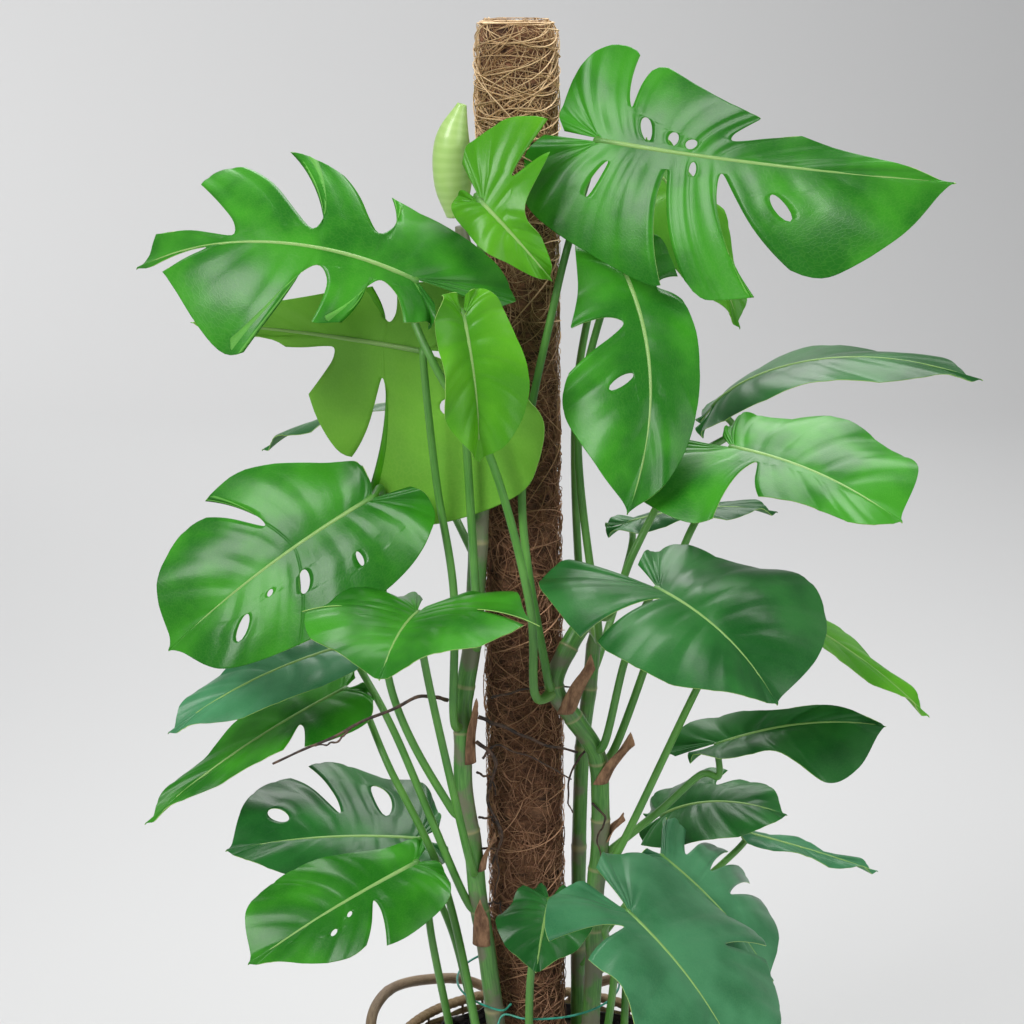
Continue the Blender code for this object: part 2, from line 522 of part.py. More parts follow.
def on_blade(shape, part, length, u, t):
    """Flat place (along the midrib, out from it) on the vein u at t of its way to the margin."""
    margin = outline(shape, part, length, u)
    ahead = np.clip((u - KNEE_SHARE) / (1 - KNEE_SHARE), 0, 1) ** 1.25
    turn = REAR_TURN * np.clip(1 - u / KNEE_SHARE, 0, 1)
    start = np.stack([KNEE_HOLE * np.cos(turn) + (length - KNEE_HOLE) * ahead, KNEE_HOLE * np.sin(turn)], -1)
    bow = start + 0.5 * (margin - start)
    bow[..., 0] -= VEIN_SWEEP * length * np.sin(math.pi * np.clip(u, 0, 1)) * (0.4 + 0.6 * u)
    t = t[..., None]
    return (1 - t) ** 2 * start + 2 * t * (1 - t) * bow + t ** 2 * margin


def bent(shape, part, side, flat, lift):
    """Bend flat places of one half into space: along the midrib, folded up and curled down."""
    axes, length = leaf_axes(shape)
    places, ahead, up = (m @ axes for m in midrib(shape))
    places = places * length + shape["junction"] + (0, 0, SOIL_LEVEL)
    left = np.cross(up, ahead)
    turn = (shape["twist"] * np.clip(MIDRIB_STEPS, 0, 1))[:, None]
    up, left = up * np.cos(turn) - left * np.sin(turn), left * np.cos(turn) + up * np.sin(turn)
    most, fold, curl = max(part["widths"]), part["fold"], part["curl"]
    slope = fold - curl * flat[..., 1] / most
    out = most / curl * (math.sin(fold) - np.sin(slope))
    rise = most / curl * (np.cos(slope) - math.cos(fold))

    def at(rows):
        x = flat[..., 0]
        return np.stack([np.interp(x, MIDRIB_STEPS * length, rows[:, i]) for i in range(3)], -1)

    normal = at(up) * np.cos(slope)[..., None] - side * at(left) * np.sin(slope)[..., None]
    return at(places) + side * out[..., None] * at(left) + rise[..., None] * at(up) + lift[..., None] * normal


def cut_width(cut, t):
    """Half the width of a window along its vein: a slit widens outward, a hole is a long oval."""
    start, end, width = cut[1:4]
    k = np.clip((t - start) / (end - start), 0, 1)
    if end >= 1:
        return width * np.sqrt(1 - (1 - np.minimum(3 * k, 1)) ** 2) * (0.4 + 0.6 * k)
    return width * np.sqrt(np.clip(1 - (2 * k - 1) ** 2, 0, 1))


def strips(shape, side, rows, column_width):
    """The surface of one half as grids of points between neighbouring windows."""
    part = shape["left"] if side > 0 else shape["right"]
    other = shape["right"] if side > 0 else shape["left"]
    length = leaf_axes(shape)[1]
    own = {cut[0]: cut for cut in part["cuts"]}
    shut = {cut[0]: (cut[0], 1, 2, 0) for cut in other["cuts"]}
    edges = [(0, 1, 2, 0)] + [{**shut, **own}[u] for u in sorted({**shut, **own})] + [(1, 1, 2, 0)]
    stops = sorted({0, 1} | {v for cut in part["cuts"] for v in (cut[1], (cut[1] + cut[2]) / 2, cut[2])})
    t = [0.0]
    for stop in stops[1:]:
        steps = max(1, math.ceil((stop - t[-1]) * rows - 0.01))
        t += list(t[-1] + (stop - t[-1]) * np.arange(1, steps + 1) / steps)
    t = np.array(t)[:, None]
    for low, high in zip(edges, edges[1:]):
        columns = max(1, round((high[0] - low[0]) / column_width))
        c = np.linspace(0, 1, columns + 1)[None]
        begin = low[0] + cut_width(low, t)
        end = high[0] - cut_width(high, t)
        u = begin + (end - begin) * c
        trim = 0 * u
        for cut, edge, amount in ((low, (1 - c) ** 3, FINGER_TAPER[0]), (high, c ** 5, FINGER_TAPER[1])):
            if cut[3] and cut[2] >= 1:
                trim = trim + amount * edge * np.clip((t - cut[1]) / (1 - cut[1]), 0, 1) ** 2
        reach = t * (1 - trim)
        flat = on_blade(shape, part, length, u, reach)
        free = max(low[1], high[1]) if low[3] and high[3] else 1
        drop = low[4] if len(low) > 4 else 0
        lift = WAVE * np.sin(2 * math.pi * WAVES_PER_HALF * u) * reach ** 2 * (1 - u ** 8)
        if free < 1:
            lift = lift - drop * np.clip((reach - free) / (1 - free), 0, 1) ** 1.6
        yield bent(shape, part, side, flat, lift)


def make_leaf(name, shape, colour):
    mat = material("leaf_" + colour, COLOURS[colour], 0.35)
    points, faces = [], []
    for side in (1, -1):
        for grid in strips(shape, side, ROWS_PER_REACH, COLUMN_WIDTH):
            rows, columns = grid.shape[:2]
            first = len(points)
            points.extend(grid.reshape(-1, 3))
            for i in range(rows - 1):
                for j in range(columns - 1):
                    a = first + i * columns + j
                    quad = (a, a + 1, a + columns + 1, a + columns)
                    faces.append(quad if side > 0 else quad[::-1])
    blade = mesh_object(name, points, faces, mat)
    thick = blade.modifiers.new("thickness", "SOLIDIFY")
    thick.thickness = BLADE_THICKNESS
    thick.offset = 0
    apply_modifiers(blade)
    axes, _ = leaf_axes(shape)
    arrive = axes[2] * 0.75 + axes[0] * 0.25
    arrive /= np.linalg.norm(arrive)
    top = shape["junction"] + arrive * KNEE_OVERRUN
    route = [*shape["stalk"], shape["junction"] - arrive * KNEE_LENGTH, top]
    count = 4 * len(route) - 3
    radii = np.linspace(STALK_RADIUS * 1.15, STALK_RADIUS * 0.8, count)
    radii[-2:] = KNEE_RADIUS
    path = spline(above_soil(route), np.linspace(0, 1, count))
    stalk = tube(name + "_stalk", path, radii, mat, STALK_SIDES)
    boolean(blade, stalk, "UNION")


COLOURS = {"green": (0.05, 0.20, 0.04), "dark": (0.02, 0.10, 0.03), "bright": (0.16, 0.36, 0.05),
           "blue": (0.08, 0.20, 0.11)}
LEAF_COLOURS = {"leaf_02": "bright", "leaf_06": "dark", "leaf_10": "blue", "leaf_12": "dark",
                "leaf_13": "bright", "leaf_15": "blue", "leaf_16": "blue", "leaf_18": "blue",
                "leaf_20": "bright", "leaf_22": "bright", "leaf_23": "dark", "leaf_24": "bright",
                "leaf_25": "bright"}


clear_scene()
make_basket()
make_handles()
make_liner()
make_soil()
make_pole()
make_stems()
make_new_leaf()
make_roots()
make_tie()
for leaf_name, leaf_shape in LEAVES.items():
    make_leaf(leaf_name, leaf_shape, LEAF_COLOURS.get(leaf_name, "green"))
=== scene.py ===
# %% [markdown]
# # A potted monstera on a coir pole
#
# The plant climbs a pole wound with coir fibre and stands in a round rattan basket with
# two bent handles and a crumpled black liner. The solids that give every piece its place
# and size come in first, as the frame, and each visible piece is then made in its place.

# %% Load the frame
import math

import bmesh
import bpy
import numpy as np
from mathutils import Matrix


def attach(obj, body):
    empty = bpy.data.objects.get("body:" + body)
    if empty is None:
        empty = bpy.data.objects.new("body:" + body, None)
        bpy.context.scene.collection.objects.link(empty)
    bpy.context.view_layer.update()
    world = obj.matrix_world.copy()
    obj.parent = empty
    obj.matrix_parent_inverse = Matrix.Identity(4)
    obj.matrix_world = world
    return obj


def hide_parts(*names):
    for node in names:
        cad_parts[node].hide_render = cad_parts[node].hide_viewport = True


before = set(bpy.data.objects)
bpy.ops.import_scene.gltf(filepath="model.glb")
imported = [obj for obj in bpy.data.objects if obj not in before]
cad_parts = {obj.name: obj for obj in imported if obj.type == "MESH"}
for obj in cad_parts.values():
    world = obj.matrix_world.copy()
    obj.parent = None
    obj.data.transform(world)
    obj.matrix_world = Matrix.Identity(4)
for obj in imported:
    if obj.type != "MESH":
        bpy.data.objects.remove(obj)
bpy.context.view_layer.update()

# %% [markdown]
# ## Surfaces from arrays
#
# Every piece is a surface that is known as a formula, so it is easiest to work out as a
# grid of points in numpy and to hand over whole. Bezier curves and modifiers could make
# the tubes, but a grid also carries the numbers that the materials need: how far along,
# how far round, which strand.

# %% Points to mesh
def gather(*axes):
    """Arrays whose shapes fit together, as one array of points."""
    return np.stack(np.broadcast_arrays(*axes), -1)


def grid_faces(rows, columns, first=0):
    """Quads between neighbouring points of a grid: each joins a point, its right-hand
    neighbour, and the same two one row on."""
    index = first + np.arange(rows * columns).reshape(rows, columns)
    corners = [index[:-1, :-1], index[:-1, 1:], index[1:, 1:], index[1:, :-1]]
    return np.stack(corners, -1).reshape(-1, 4)


def put_surface(name, grids, finishes, uvs=None, values=None, turn_out=True, weld=1e-5):
    """One object from grids of points, welded where grids touch.

    uvs      one grid of (u, v) per grid of points
    values   attribute name to one grid of numbers per grid of points
    turn_out turns the faces of a closed surface outward
    """
    points = np.concatenate([g.reshape(-1, 3) for g in grids])
    starts = np.cumsum([0] + [g.shape[0] * g.shape[1] for g in grids])
    faces = np.concatenate([grid_faces(*g.shape[:2], first) for g, first in zip(grids, starts)])
    mesh = bpy.data.meshes.new(name)
    mesh.vertices.add(len(points))
    mesh.vertices.foreach_set("co", points.astype(np.float32).ravel())
    mesh.loops.add(faces.size)
    mesh.loops.foreach_set("vertex_index", faces.astype(np.int32).ravel())
    mesh.polygons.add(len(faces))
    mesh.polygons.foreach_set("loop_start", np.arange(0, faces.size, 4, dtype=np.int32))
    mesh.update(calc_edges=True)
    if uvs is not None:
        flat = np.concatenate([u.reshape(-1, 2) for u in uvs])[faces.ravel()]
        mesh.uv_layers.new(name="Pattern").data.foreach_set("uv", flat.astype(np.float32).ravel())
    for key, parts in (values or {}).items():
        numbers = np.concatenate([np.asarray(p, float).ravel() for p in parts])
        layer = mesh.attributes.new(key, "FLOAT", "POINT")
        layer.data.foreach_set("value", numbers.astype(np.float32))
    work = bmesh.new()
    work.from_mesh(mesh)
    if weld:
        bmesh.ops.remove_doubles(work, verts=work.verts, dist=weld)
        bmesh.ops.dissolve_degenerate(work, edges=work.edges, dist=weld / 2)
    if turn_out:
        bmesh.ops.recalc_face_normals(work, faces=work.faces)
    work.to_mesh(mesh)
    work.free()
    mesh.shade_smooth()
    for finish in finishes:
        mesh.materials.append(finish)
    thing = bpy.data.objects.new(name, mesh)
    bpy.context.scene.collection.objects.link(thing)
    return thing


def thicken(thing, title, thickness):
    """Makes a sheet into a plate with its middle where the sheet was."""
    wall = thing.modifiers.new(title, "SOLIDIFY")
    wall.thickness, wall.offset = thickness, 0
    return wall


def place(thing, slot, *nodes):
    """The piece belongs to the plant and stands for these solids. The slot is not used."""
    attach(thing, "root")
    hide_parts(*nodes)
    return thing


# %% [markdown]
# ## Curves and tubes
#
# Stems, stalks, roots, rattan and wire are all round bars along a curve. A Catmull-Rom
# spline passes through its points, so the points can simply be listed. The cross-section
# is carried along with a frame that turns as little as it can, so that nothing twists.

# %% Splines and swept tubes
def spline(points, places):
    """The cubic through the points (Catmull-Rom), read at places from 0 to 1: between two
    points it blends them with the slopes set by their neighbours."""
    p = np.asarray(points, float)
    spans = len(p) - 1
    ext = np.vstack([2 * p[0] - p[1], p, 2 * p[-1] - p[-2]])
    s = np.clip(np.asarray(places, float), 0, 1) * spans
    i = np.minimum(s.astype(int), spans - 1)
    f = (s - i)[..., None]
    a, b, c, d = ext[i], ext[i + 1], ext[i + 2], ext[i + 3]
    square, cube = 2 * a - 5 * b + 4 * c - d, 3 * b - a - 3 * c + d
    return 0.5 * (2 * b + (c - a) * f + square * f ** 2 + cube * f ** 3)


def unit(vectors):
    """The vectors at length 1."""
    return vectors / np.maximum(np.linalg.norm(vectors, axis=-1, keepdims=True), 1e-12)


def sweep_frame(path):
    """Tangent, across and third directions along a path: across starts anywhere square to
    the path, and at each step loses only its part along the new tangent."""
    along = unit(np.gradient(path, axis=0))
    across = np.zeros_like(along)
    across[0] = unit(np.cross(along[0], (0.3, 0.9, 0.2)))
    for k in range(1, len(path)):
        across[k] = unit(across[k - 1] - along[k] * (across[k - 1] @ along[k]))
    return along, across, np.cross(along, across)


def tube_grid(path, radii, sides=16, bumps=None):
    """Rings of points round a path: centre + radius (cos a across + sin a third), closed
    to a point at both ends. bumps(places, angles) is added to the radius."""
    _, across, third = sweep_frame(path)
    radii = np.broadcast_to(np.asarray(radii, float), len(path))[:, None]
    places = np.linspace(0, 1, len(path))[:, None]
    angles = np.linspace(0, 2 * math.pi, sides + 1)[None]
    size = (radii + (0 if bumps is None else bumps(places, angles)))[..., None]
    ring = np.cos(angles)[..., None] * across[:, None] + np.sin(angles)[..., None] * third[:, None]
    rings = path[:, None] + size * ring
    caps = [np.repeat(path[k][None, None], sides + 1, 1) for k in (0, -1)]
    grid = np.concatenate([caps[0], rings, caps[1]])
    length = np.concatenate([[0], np.cumsum(np.linalg.norm(np.diff(path, axis=0), axis=1))])
    length = np.concatenate([[0], length, length[-1:]])
    return grid, gather(angles / (2 * math.pi), length[:, None])


def wobble(s, rates, phase):
    """A sway of up to 1.2 mm in each direction, which dies away at both ends."""
    x, y, z = rates
    sway = np.stack([np.sin(x * s + phase), np.cos(y * s + phase), np.sin(z * s)], -1)
    return 0.0012 * sway * np.sin(math.pi * s)[:, None]


def ripple(x, y, seed, octaves=4):
    """Smooth noise between about -1 and 1: a sum of waves in random directions, each
    octave with half the length and half the height of the one before."""
    random = np.random.default_rng(seed)
    total = 0
    for octave in range(octaves):
        for _ in range(4):
            turn, phase = random.uniform(0, 2 * math.pi, 2)
            rate = 2 ** octave * random.uniform(0.8, 1.25)
            wave = np.sin(rate * (x * math.cos(turn) + y * math.sin(turn)) + phase)
            total = total + 0.5 ** octave * wave
    return total / 4


# %% [markdown]
# ## Writing materials as sums
#
# A material is a tree of nodes, but most of it is arithmetic. The class below wraps one
# socket, so that `1 - mask * 0.5` adds the Math nodes by itself, and one method adds any
# other node. Colours go through Mix nodes, because a Math node would turn them grey.

# %% Shader arithmetic
class Wire:
    """One output socket in a material's node tree."""

    def __init__(self, tree, socket=None):
        self.tree, self.socket = tree, socket

    def node(self, kind, settings=None, inputs=None, out=0):
        """Adds a node of a kind, sets its settings and then its sockets, and returns one
        output."""
        made = self.tree.nodes.new(kind)
        for name, value in (settings or {}).items():
            setattr(made, name, value)
        for name, value in (inputs or {}).items():
            if isinstance(value, Wire):
                self.tree.links.new(value.socket, made.inputs[name])
            else:
                made.inputs[name].default_value = value
        return Wire(self.tree, made.outputs[out])

    def maths(self, operation, *terms):
        return self.node("ShaderNodeMath", {"operation": operation}, dict(enumerate(terms)))

    def __add__(self, other):
        return self.maths("ADD", self, other)

    def __mul__(self, other):
        return self.maths("MULTIPLY", self, other)

    def __sub__(self, other):
        return self.maths("SUBTRACT", self, other)

    def __rsub__(self, other):
        return self.maths("SUBTRACT", other, self)

    __radd__, __rmul__ = __add__, __mul__

    def rise(self, low, high):
        """0 below low, 1 above high, smooth between."""
        return self.node("ShaderNodeMapRange", {"interpolation_type": "SMOOTHSTEP"},
                         {"Value": self, "From Min": low, "From Max": high})

    def mix(self, a, b):
        """The colour a where this value is 0, b where it is 1."""
        a, b = (c if isinstance(c, Wire) else (*c, 1) for c in (a, b))
        return self.node("ShaderNodeMix", {"data_type": "RGBA"}, {0: self, 6: a, 7: b}, out=2)


def finish(name, roughness=0.5, **constants):
    """A new material, and the start of its shader arithmetic."""
    made = bpy.data.materials.new(name)
    made.use_nodes = True
    shader = made.node_tree.nodes["Principled BSDF"]
    shader.inputs["Roughness"].default_value = roughness
    for key, value in constants.items():
        shader.inputs[key.replace("_", " ")].default_value = value
    return made, Wire(made.node_tree), shader


def feed(start, shader, **wires):
    """Connects wires to the shader's sockets; height goes through a Bump node."""
    for key, wire in wires.items():
        if key == "height":
            height, distance = wire
            key, wire = "Normal", start.node("ShaderNodeBump", None, {
                "Distance": distance, "Strength": 1.0, "Height": height})
        start.tree.links.new(wire.socket, shader.inputs[key.replace("_", " ")])


def here(start):
    """Object coordinates, in metres."""
    return start.node("ShaderNodeTexCoord", out="Object")


def noise(start, scale, detail=3.0, roughness=0.5, where=None):
    """Smooth noise between about 0.3 and 0.7, at object coordinates if not told where."""
    return start.node("ShaderNodeTexNoise", None, {"Vector": where or here(start), "Scale": scale,
                                                   "Detail": detail, "Roughness": roughness})


def stretched(start, where, scale):
    """The same coordinates, stretched by a scale in each direction."""
    return start.node("ShaderNodeMapping", None, {"Vector": where, "Scale": scale})


def value(start, name):
    """A number that the mesh carries at each point."""
    return start.node("ShaderNodeAttribute", {"attribute_name": name}, out="Fac")


def pattern(start):
    """The piece's own map."""
    return start.node("ShaderNodeUVMap", {"uv_map": "Pattern"})


def axis(start, vector, number):
    """One number of a vector: 0, 1 or 2 for x, y or z."""
    return start.node("ShaderNodeSeparateXYZ", None, {0: vector}, out=number)


# %% [markdown]
# ## Camera, floor and light
#
# The plant is looked at from the front and from about the height of its top, a little
# downward, with a long lens, so that near and far leaves keep their sizes. One large soft
# light stands high at the left, a weaker one at the right. The floor runs far back and
# bends up into a wall without an edge, and two lamps of its own light it, more at the left.

# %% The studio
scene = bpy.context.scene
scene.view_settings.view_transform = "Standard"
eye = bpy.data.cameras.new("camera")
eye.lens, eye.sensor_width, eye.clip_end = 75.4, 36.0, 200.0
camera = bpy.data.objects.new("camera", eye)
camera.location = (-0.029, -2.2, 1.42)
camera.rotation_euler = (math.radians(77.08), 0, 0)
scene.collection.objects.link(camera)
scene.camera = camera

LAMPS = (("key", (-1.9, -2.4, 3.1), (0, 0, 0.8), 1.6, 104),
         ("fill", (2.6, -2.0, 1.9), (0, 0, 0.8), 2.2, 38),
         ("top", (0.6, 0.9, 3.4), (0, 0, 0.9), 1.6, 55),
         ("floor lamp", (-0.5, 4.3, 4.5), (-0.5, 4.4, 0.0), 2.5, 112),
         ("wall lamp", (-3.8, 5.2, 2.6), (-2.2, 8.0, 1.2), 1.5, 42))
for title, spot, aim, size, power in LAMPS:
    lamp = bpy.data.lights.new(title, "AREA")
    lamp.size, lamp.energy = size, power
    light = bpy.data.objects.new(title, lamp)
    light.location = spot
    away = np.array(spot) - np.array(aim)
    light.rotation_euler = (math.atan2(math.hypot(away[0], away[1]), away[2]), 0,
                            math.atan2(away[0], -away[1]))
    scene.collection.objects.link(light)

world = bpy.data.worlds.new("sky")
world.use_nodes = True
world.node_tree.nodes["Background"].inputs["Color"].default_value = (0.86, 0.87, 0.88, 1)
world.node_tree.nodes["Background"].inputs["Strength"].default_value = 0.40
scene.world = world

BEND_START, BEND_RADIUS = 5.5, 2.5
floor_paint, _, _ = finish("floor", 0.9, Base_Color=(0.64, 0.64, 0.64, 1))
bend = np.linspace(0, math.pi / 2, 24)
back = np.concatenate([[-8], BEND_START + BEND_RADIUS * np.sin(bend), [BEND_START + BEND_RADIUS]])
rise = np.concatenate([[0], BEND_RADIUS - BEND_RADIUS * np.cos(bend), [9]])
sheet = gather(np.array([-14, 14])[None], back[:, None], rise[:, None])
floor = put_surface("floor", [sheet], [floor_paint], turn_out=False)
print("camera, five lights and a floor that bends up into a wall")

# %% [markdown]
# ## The basket
#
# Rattan baskets are woven: thin upright stakes, and weavers that pass in front of one
# stake and behind the next. A bump map alone would leave a smooth outline, so each weaver
# is a ring of its own whose radius swings in and out, half a step apart from the ring
# below it. The bottom is woven in the same way, with the swing up and down.

# %% Basket measures
BASKET_HEIGHT = 0.300
BASKET_RIM_RADIUS = 0.165
BASKET_FOOT_RADIUS = 0.128
BASKET_WALL = 0.008
RIM_ROLL_RADIUS = 0.006
HANDLE_RADIUS = 0.0065
LINER_BELOW_RIM = 0.008
SOIL_BELOW_RIM = 0.035
SOIL_LEVEL = BASKET_HEIGHT - SOIL_BELOW_RIM
STAKES = 38
STAKE_RADIUS = 0.0016
WEAVER_PITCH = 0.0078
WEAVER_WIDTH = WEAVER_PITCH * 0.53
WEAVER_DEPTH = 0.0019
WEAVER_SWING = 0.0020


def basket_radius(height):
    """The wall widens evenly from foot to rim."""
    return BASKET_FOOT_RADIUS + (BASKET_RIM_RADIUS - BASKET_FOOT_RADIUS) * height / BASKET_HEIGHT


def outward(angles):
    """Level vectors of length 1, away from the middle."""
    return gather(np.cos(angles), np.sin(angles), 0 * angles)


def weaver(path, out, sides=6):
    """A closed oval strip round the basket: path + width cos a along the wall + depth sin a
    out of it."""
    flat = np.cross(unit(np.roll(path, -1, 0) - np.roll(path, 1, 0)), out)
    angles = np.linspace(0, 2 * math.pi, sides + 1)[None, :, None]
    grid = (path[:, None] + WEAVER_WIDTH * np.cos(angles) * flat[:, None]
            + WEAVER_DEPTH * np.sin(angles) * out[:, None])
    grid = np.concatenate([grid, grid[:1]])
    around = np.linspace(0, 1, len(grid))[:, None]
    return grid, gather(around, angles[..., 0] / (2 * math.pi))


# %% Rattan finish
def rattan(name, light, dark, gloss):
    """Split cane: long fibres along the strip, darker here and there, with fine cracks."""
    made, start, shader = finish(name, gloss)
    fibre = noise(start, 1.0, 5, 0.65, stretched(start, pattern(start), (140, 9, 1)))
    patch = noise(start, 22, 3)
    grain = fibre.rise(0.35, 0.68)
    colour = (grain * 0.65 + patch.rise(0.3, 0.75) * 0.35).mix(dark, light)
    feed(start, shader, Base_Color=colour, Roughness=gloss + 0.2 * fibre, height=(fibre, 0.0006))
    return made


cane = rattan("cane", (0.50, 0.35, 0.19), (0.20, 0.12, 0.055), 0.42)
cane_dark = rattan("cane_stakes", (0.34, 0.21, 0.10), (0.13, 0.07, 0.03), 0.5)

# %% Weave the basket
turn = np.linspace(0, 2 * math.pi, STAKES * 5, endpoint=False)
radial = outward(turn)
upward = gather(0 * turn, 0 * turn, 1)
weavers, weaver_maps = [], []
levels = np.arange(BASKET_WALL, BASKET_HEIGHT - 2 * RIM_ROLL_RADIUS, WEAVER_PITCH)
for k, level in enumerate(levels):
    swing = WEAVER_SWING * np.cos(STAKES / 2 * turn + math.pi * k) + 0.0003 * np.sin(3 * turn + k)
    reach = basket_radius(level) - BASKET_WALL / 2 + swing
    ring = radial * reach[:, None] + upward * (level + 0.0005 * np.sin(2 * turn + 2.1 * k))[:, None]
    grid, uv = weaver(ring, radial)
    weavers.append(grid)
    weaver_maps.append(uv * (6, 1) + (0.37 * k, 0))
for k, reach in enumerate(np.arange(BASKET_FOOT_RADIUS - 0.004, 0.012, -WEAVER_PITCH)):
    swing = 0.0019 * np.cos(STAKES / 2 * turn + math.pi * k)
    ring = radial * reach + upward * (0.0042 + swing)[:, None]
    grid, uv = weaver(ring, -upward)
    weavers.append(grid)
    weaver_maps.append(uv * (6, 1) + (0.61 * k, 0))
place(put_surface("basket_weavers", weavers, [cane], weaver_maps), "rattan", "basket")

stakes, stake_maps = [], []
for angle in np.arange(STAKES) * 2 * math.pi / STAKES:
    out = np.array([math.cos(angle), math.sin(angle), 0])
    line = [(0.010, 0.0045), (0.070, 0.0045), (BASKET_FOOT_RADIUS - 0.010, 0.0045)]
    line += [(basket_radius(h) - BASKET_WALL / 2, h) for h in (0.012, 0.10, 0.20, BASKET_HEIGHT - 0.006)]
    path = spline([out * r + (0, 0, h) for r, h in line], np.linspace(0, 1, 22))
    grid, uv = tube_grid(path, STAKE_RADIUS, 6)
    stakes.append(grid)
    stake_maps.append(uv * (1, 8))
place(put_surface("basket_stakes", stakes, [cane_dark], stake_maps), "rattan", "basket")
print("woven:", len(weavers), "weavers and", STAKES, "stakes")

# %% [markdown]
# The rim is a bundle of cane wound round with one long strip. The winding is a spiral, so
# one formula gives both its ridges and the small steps between its turns.

# %% Rim and handles
RIM_WINDINGS = 110
rim_turn = np.linspace(0, 2 * math.pi, 720, endpoint=False)
rim_out = outward(rim_turn)
rim_path = rim_out * (BASKET_RIM_RADIUS - BASKET_WALL / 2) + (0, 0, BASKET_HEIGHT - RIM_ROLL_RADIUS)
section = np.linspace(0, 2 * math.pi, 17)[None]
wound = (rim_turn[:, None] * RIM_WINDINGS + section) / (2 * math.pi) % 1
thick = RIM_ROLL_RADIUS - 0.0012 + 0.0011 * np.sin(math.pi * wound) ** 0.5
rim_grid = (rim_path[:, None] + (thick * np.cos(section))[..., None] * rim_out[:, None]
            + (thick * np.sin(section))[..., None] * np.array([0, 0, 1.0]))
rim_map = gather(wound * 0.3 + 0.1 * rim_turn[:, None], section / 6.3)
rim_grid, rim_map = (np.concatenate([g, g[:1]]) for g in (rim_grid, rim_map))
place(put_surface("basket_rim", [rim_grid], [cane], [rim_map]), "rattan", "basket")

HANDLE_ROUTE = ((-22, 0, -0.075), (-19, 0.003, -0.035), (-13, 0.008, 0.005), (-2, 0.008, 0.036),
                (10, 0.002, 0.046), (26, 0, 0.04), (44, 0, 0.026), (60, 0, 0.012),
                (72, 0, -0.01), (80, 0, -0.04))
handle_cane = rattan("handle_cane", (0.46, 0.33, 0.20), (0.15, 0.09, 0.05), 0.38)
for title, side in (("basket_handle_left", -1), ("basket_handle_right", 1)):
    route = []
    for degrees, out, rise in HANDLE_ROUTE:
        angle, reach = math.radians(degrees), BASKET_RIM_RADIUS + HANDLE_RADIUS + RIM_ROLL_RADIUS + out
        route.append((side * reach * math.cos(angle), reach * math.sin(angle), BASKET_HEIGHT + rise))

    def knots(places, angles):
        """Low rings where the cane had its joints, and shallow flutes along it."""
        joint = np.exp(-((places * 4 - np.round(places * 4)) / 0.03) ** 2)
        return 0.0004 * joint - 0.00035 * np.abs(np.sin(2 * angles + 9 * places)) - 0.0003

    grid, uv = tube_grid(spline(route, np.linspace(0, 1, 160)), HANDLE_RADIUS, 20, knots)
    place(put_surface(title + "_cane", [grid], [handle_cane], [uv * (0.6, 10)]), "rattan_handle", title)
print("rim and two handles")

# %% [markdown]
# ## Liner and soil
#
# The liner is thin black film pushed down by hand: broad pleats at its free edge with
# sharp small creases over them. Creases are where a folded noise crosses zero, so the
# height is the absolute value of a smooth noise, which leaves a V at each crossing.

# %% Liner
LINER_STEPS = (360, 60)
film, start, shader = finish("film", 0.25, Specular_IOR_Level=0.6)
dust = noise(start, 60, 4).rise(0.45, 0.8)
feed(start, shader, Base_Color=dust.mix((0.035, 0.035, 0.04), (0.13, 0.125, 0.13)),
     Roughness=0.2 + 0.35 * dust)
angle = np.linspace(0, 2 * math.pi, LINER_STEPS[0] + 1)[None]
height = np.linspace(0.0, 1.0, LINER_STEPS[1])[:, None] ** 0.5
floor_level, top = BASKET_WALL + 0.0005, BASKET_HEIGHT - LINER_BELOW_RIM
level = floor_level + 0.001 + (top - floor_level - 0.001) * height
free = np.clip((level - SOIL_LEVEL - 0.003) / (top - SOIL_LEVEL - 0.003), 0, 1)
pleat = 0.5 + 0.25 * np.sin(7 * angle + 0.4) + 0.25 * np.sin(12 * angle + 1.9)
crease = (np.abs(ripple(angle * 9, level * 160, 3, 3))
          + 0.5 * np.abs(ripple(angle * 21, level * 420, 8, 2)))
inward = free * (0.0085 * pleat + 0.002 + 0.004 * crease)
reach = basket_radius(level) - BASKET_WALL - 0.0008 - inward
level = level - 0.007 * free * (0.5 + 0.5 * np.sin(5 * angle + 2.2)) - 0.002 * free * crease
liner_grid = gather(reach * np.cos(angle), reach * np.sin(angle), level)
middle = np.zeros((1, LINER_STEPS[0] + 1, 3)) + (0, 0, floor_level + 0.001)
liner = put_surface("liner_film", [np.concatenate([middle, liner_grid])], [film])
thicken(liner, "film", 0.0006)
place(liner, "black_film", "liner")
print("liner faces:", len(liner.data.polygons))

# %% Soil and its lumps
earth, start, shader = finish("earth", 0.95)
grit = noise(start, 260, 6, 0.7)
clods = noise(start, 45, 3)
damp = (grit * 0.6 + clods * 0.4).rise(0.38, 0.66)
feed(start, shader, Base_Color=damp.mix((0.018, 0.011, 0.007), (0.11, 0.07, 0.042)),
     height=(grit + clods, 0.003))
angle = np.linspace(0, 2 * math.pi, 181)[None]
out = np.linspace(0, 1, 70)[:, None]
edge = basket_radius(SOIL_LEVEL) - BASKET_WALL - 0.0035
x, y = edge * out * np.cos(angle), edge * out * np.sin(angle)
mound = 0.0012 * ripple(x * 160, y * 160, 5, 4) + 0.0016 * ripple(x * 40, y * 40, 6, 2) - 0.001
top_grid = np.stack([x, y, SOIL_LEVEL + mound * (1 - out ** 12)], -1)
side = gather(edge * 0.985 * np.cos(angle), edge * 0.985 * np.sin(angle),
              np.array([[SOIL_LEVEL - 0.02], [0.10]]))
side[1] *= (0.86, 0.86, 1)
base = np.zeros((1, 181, 3)) + (0, 0, 0.012)
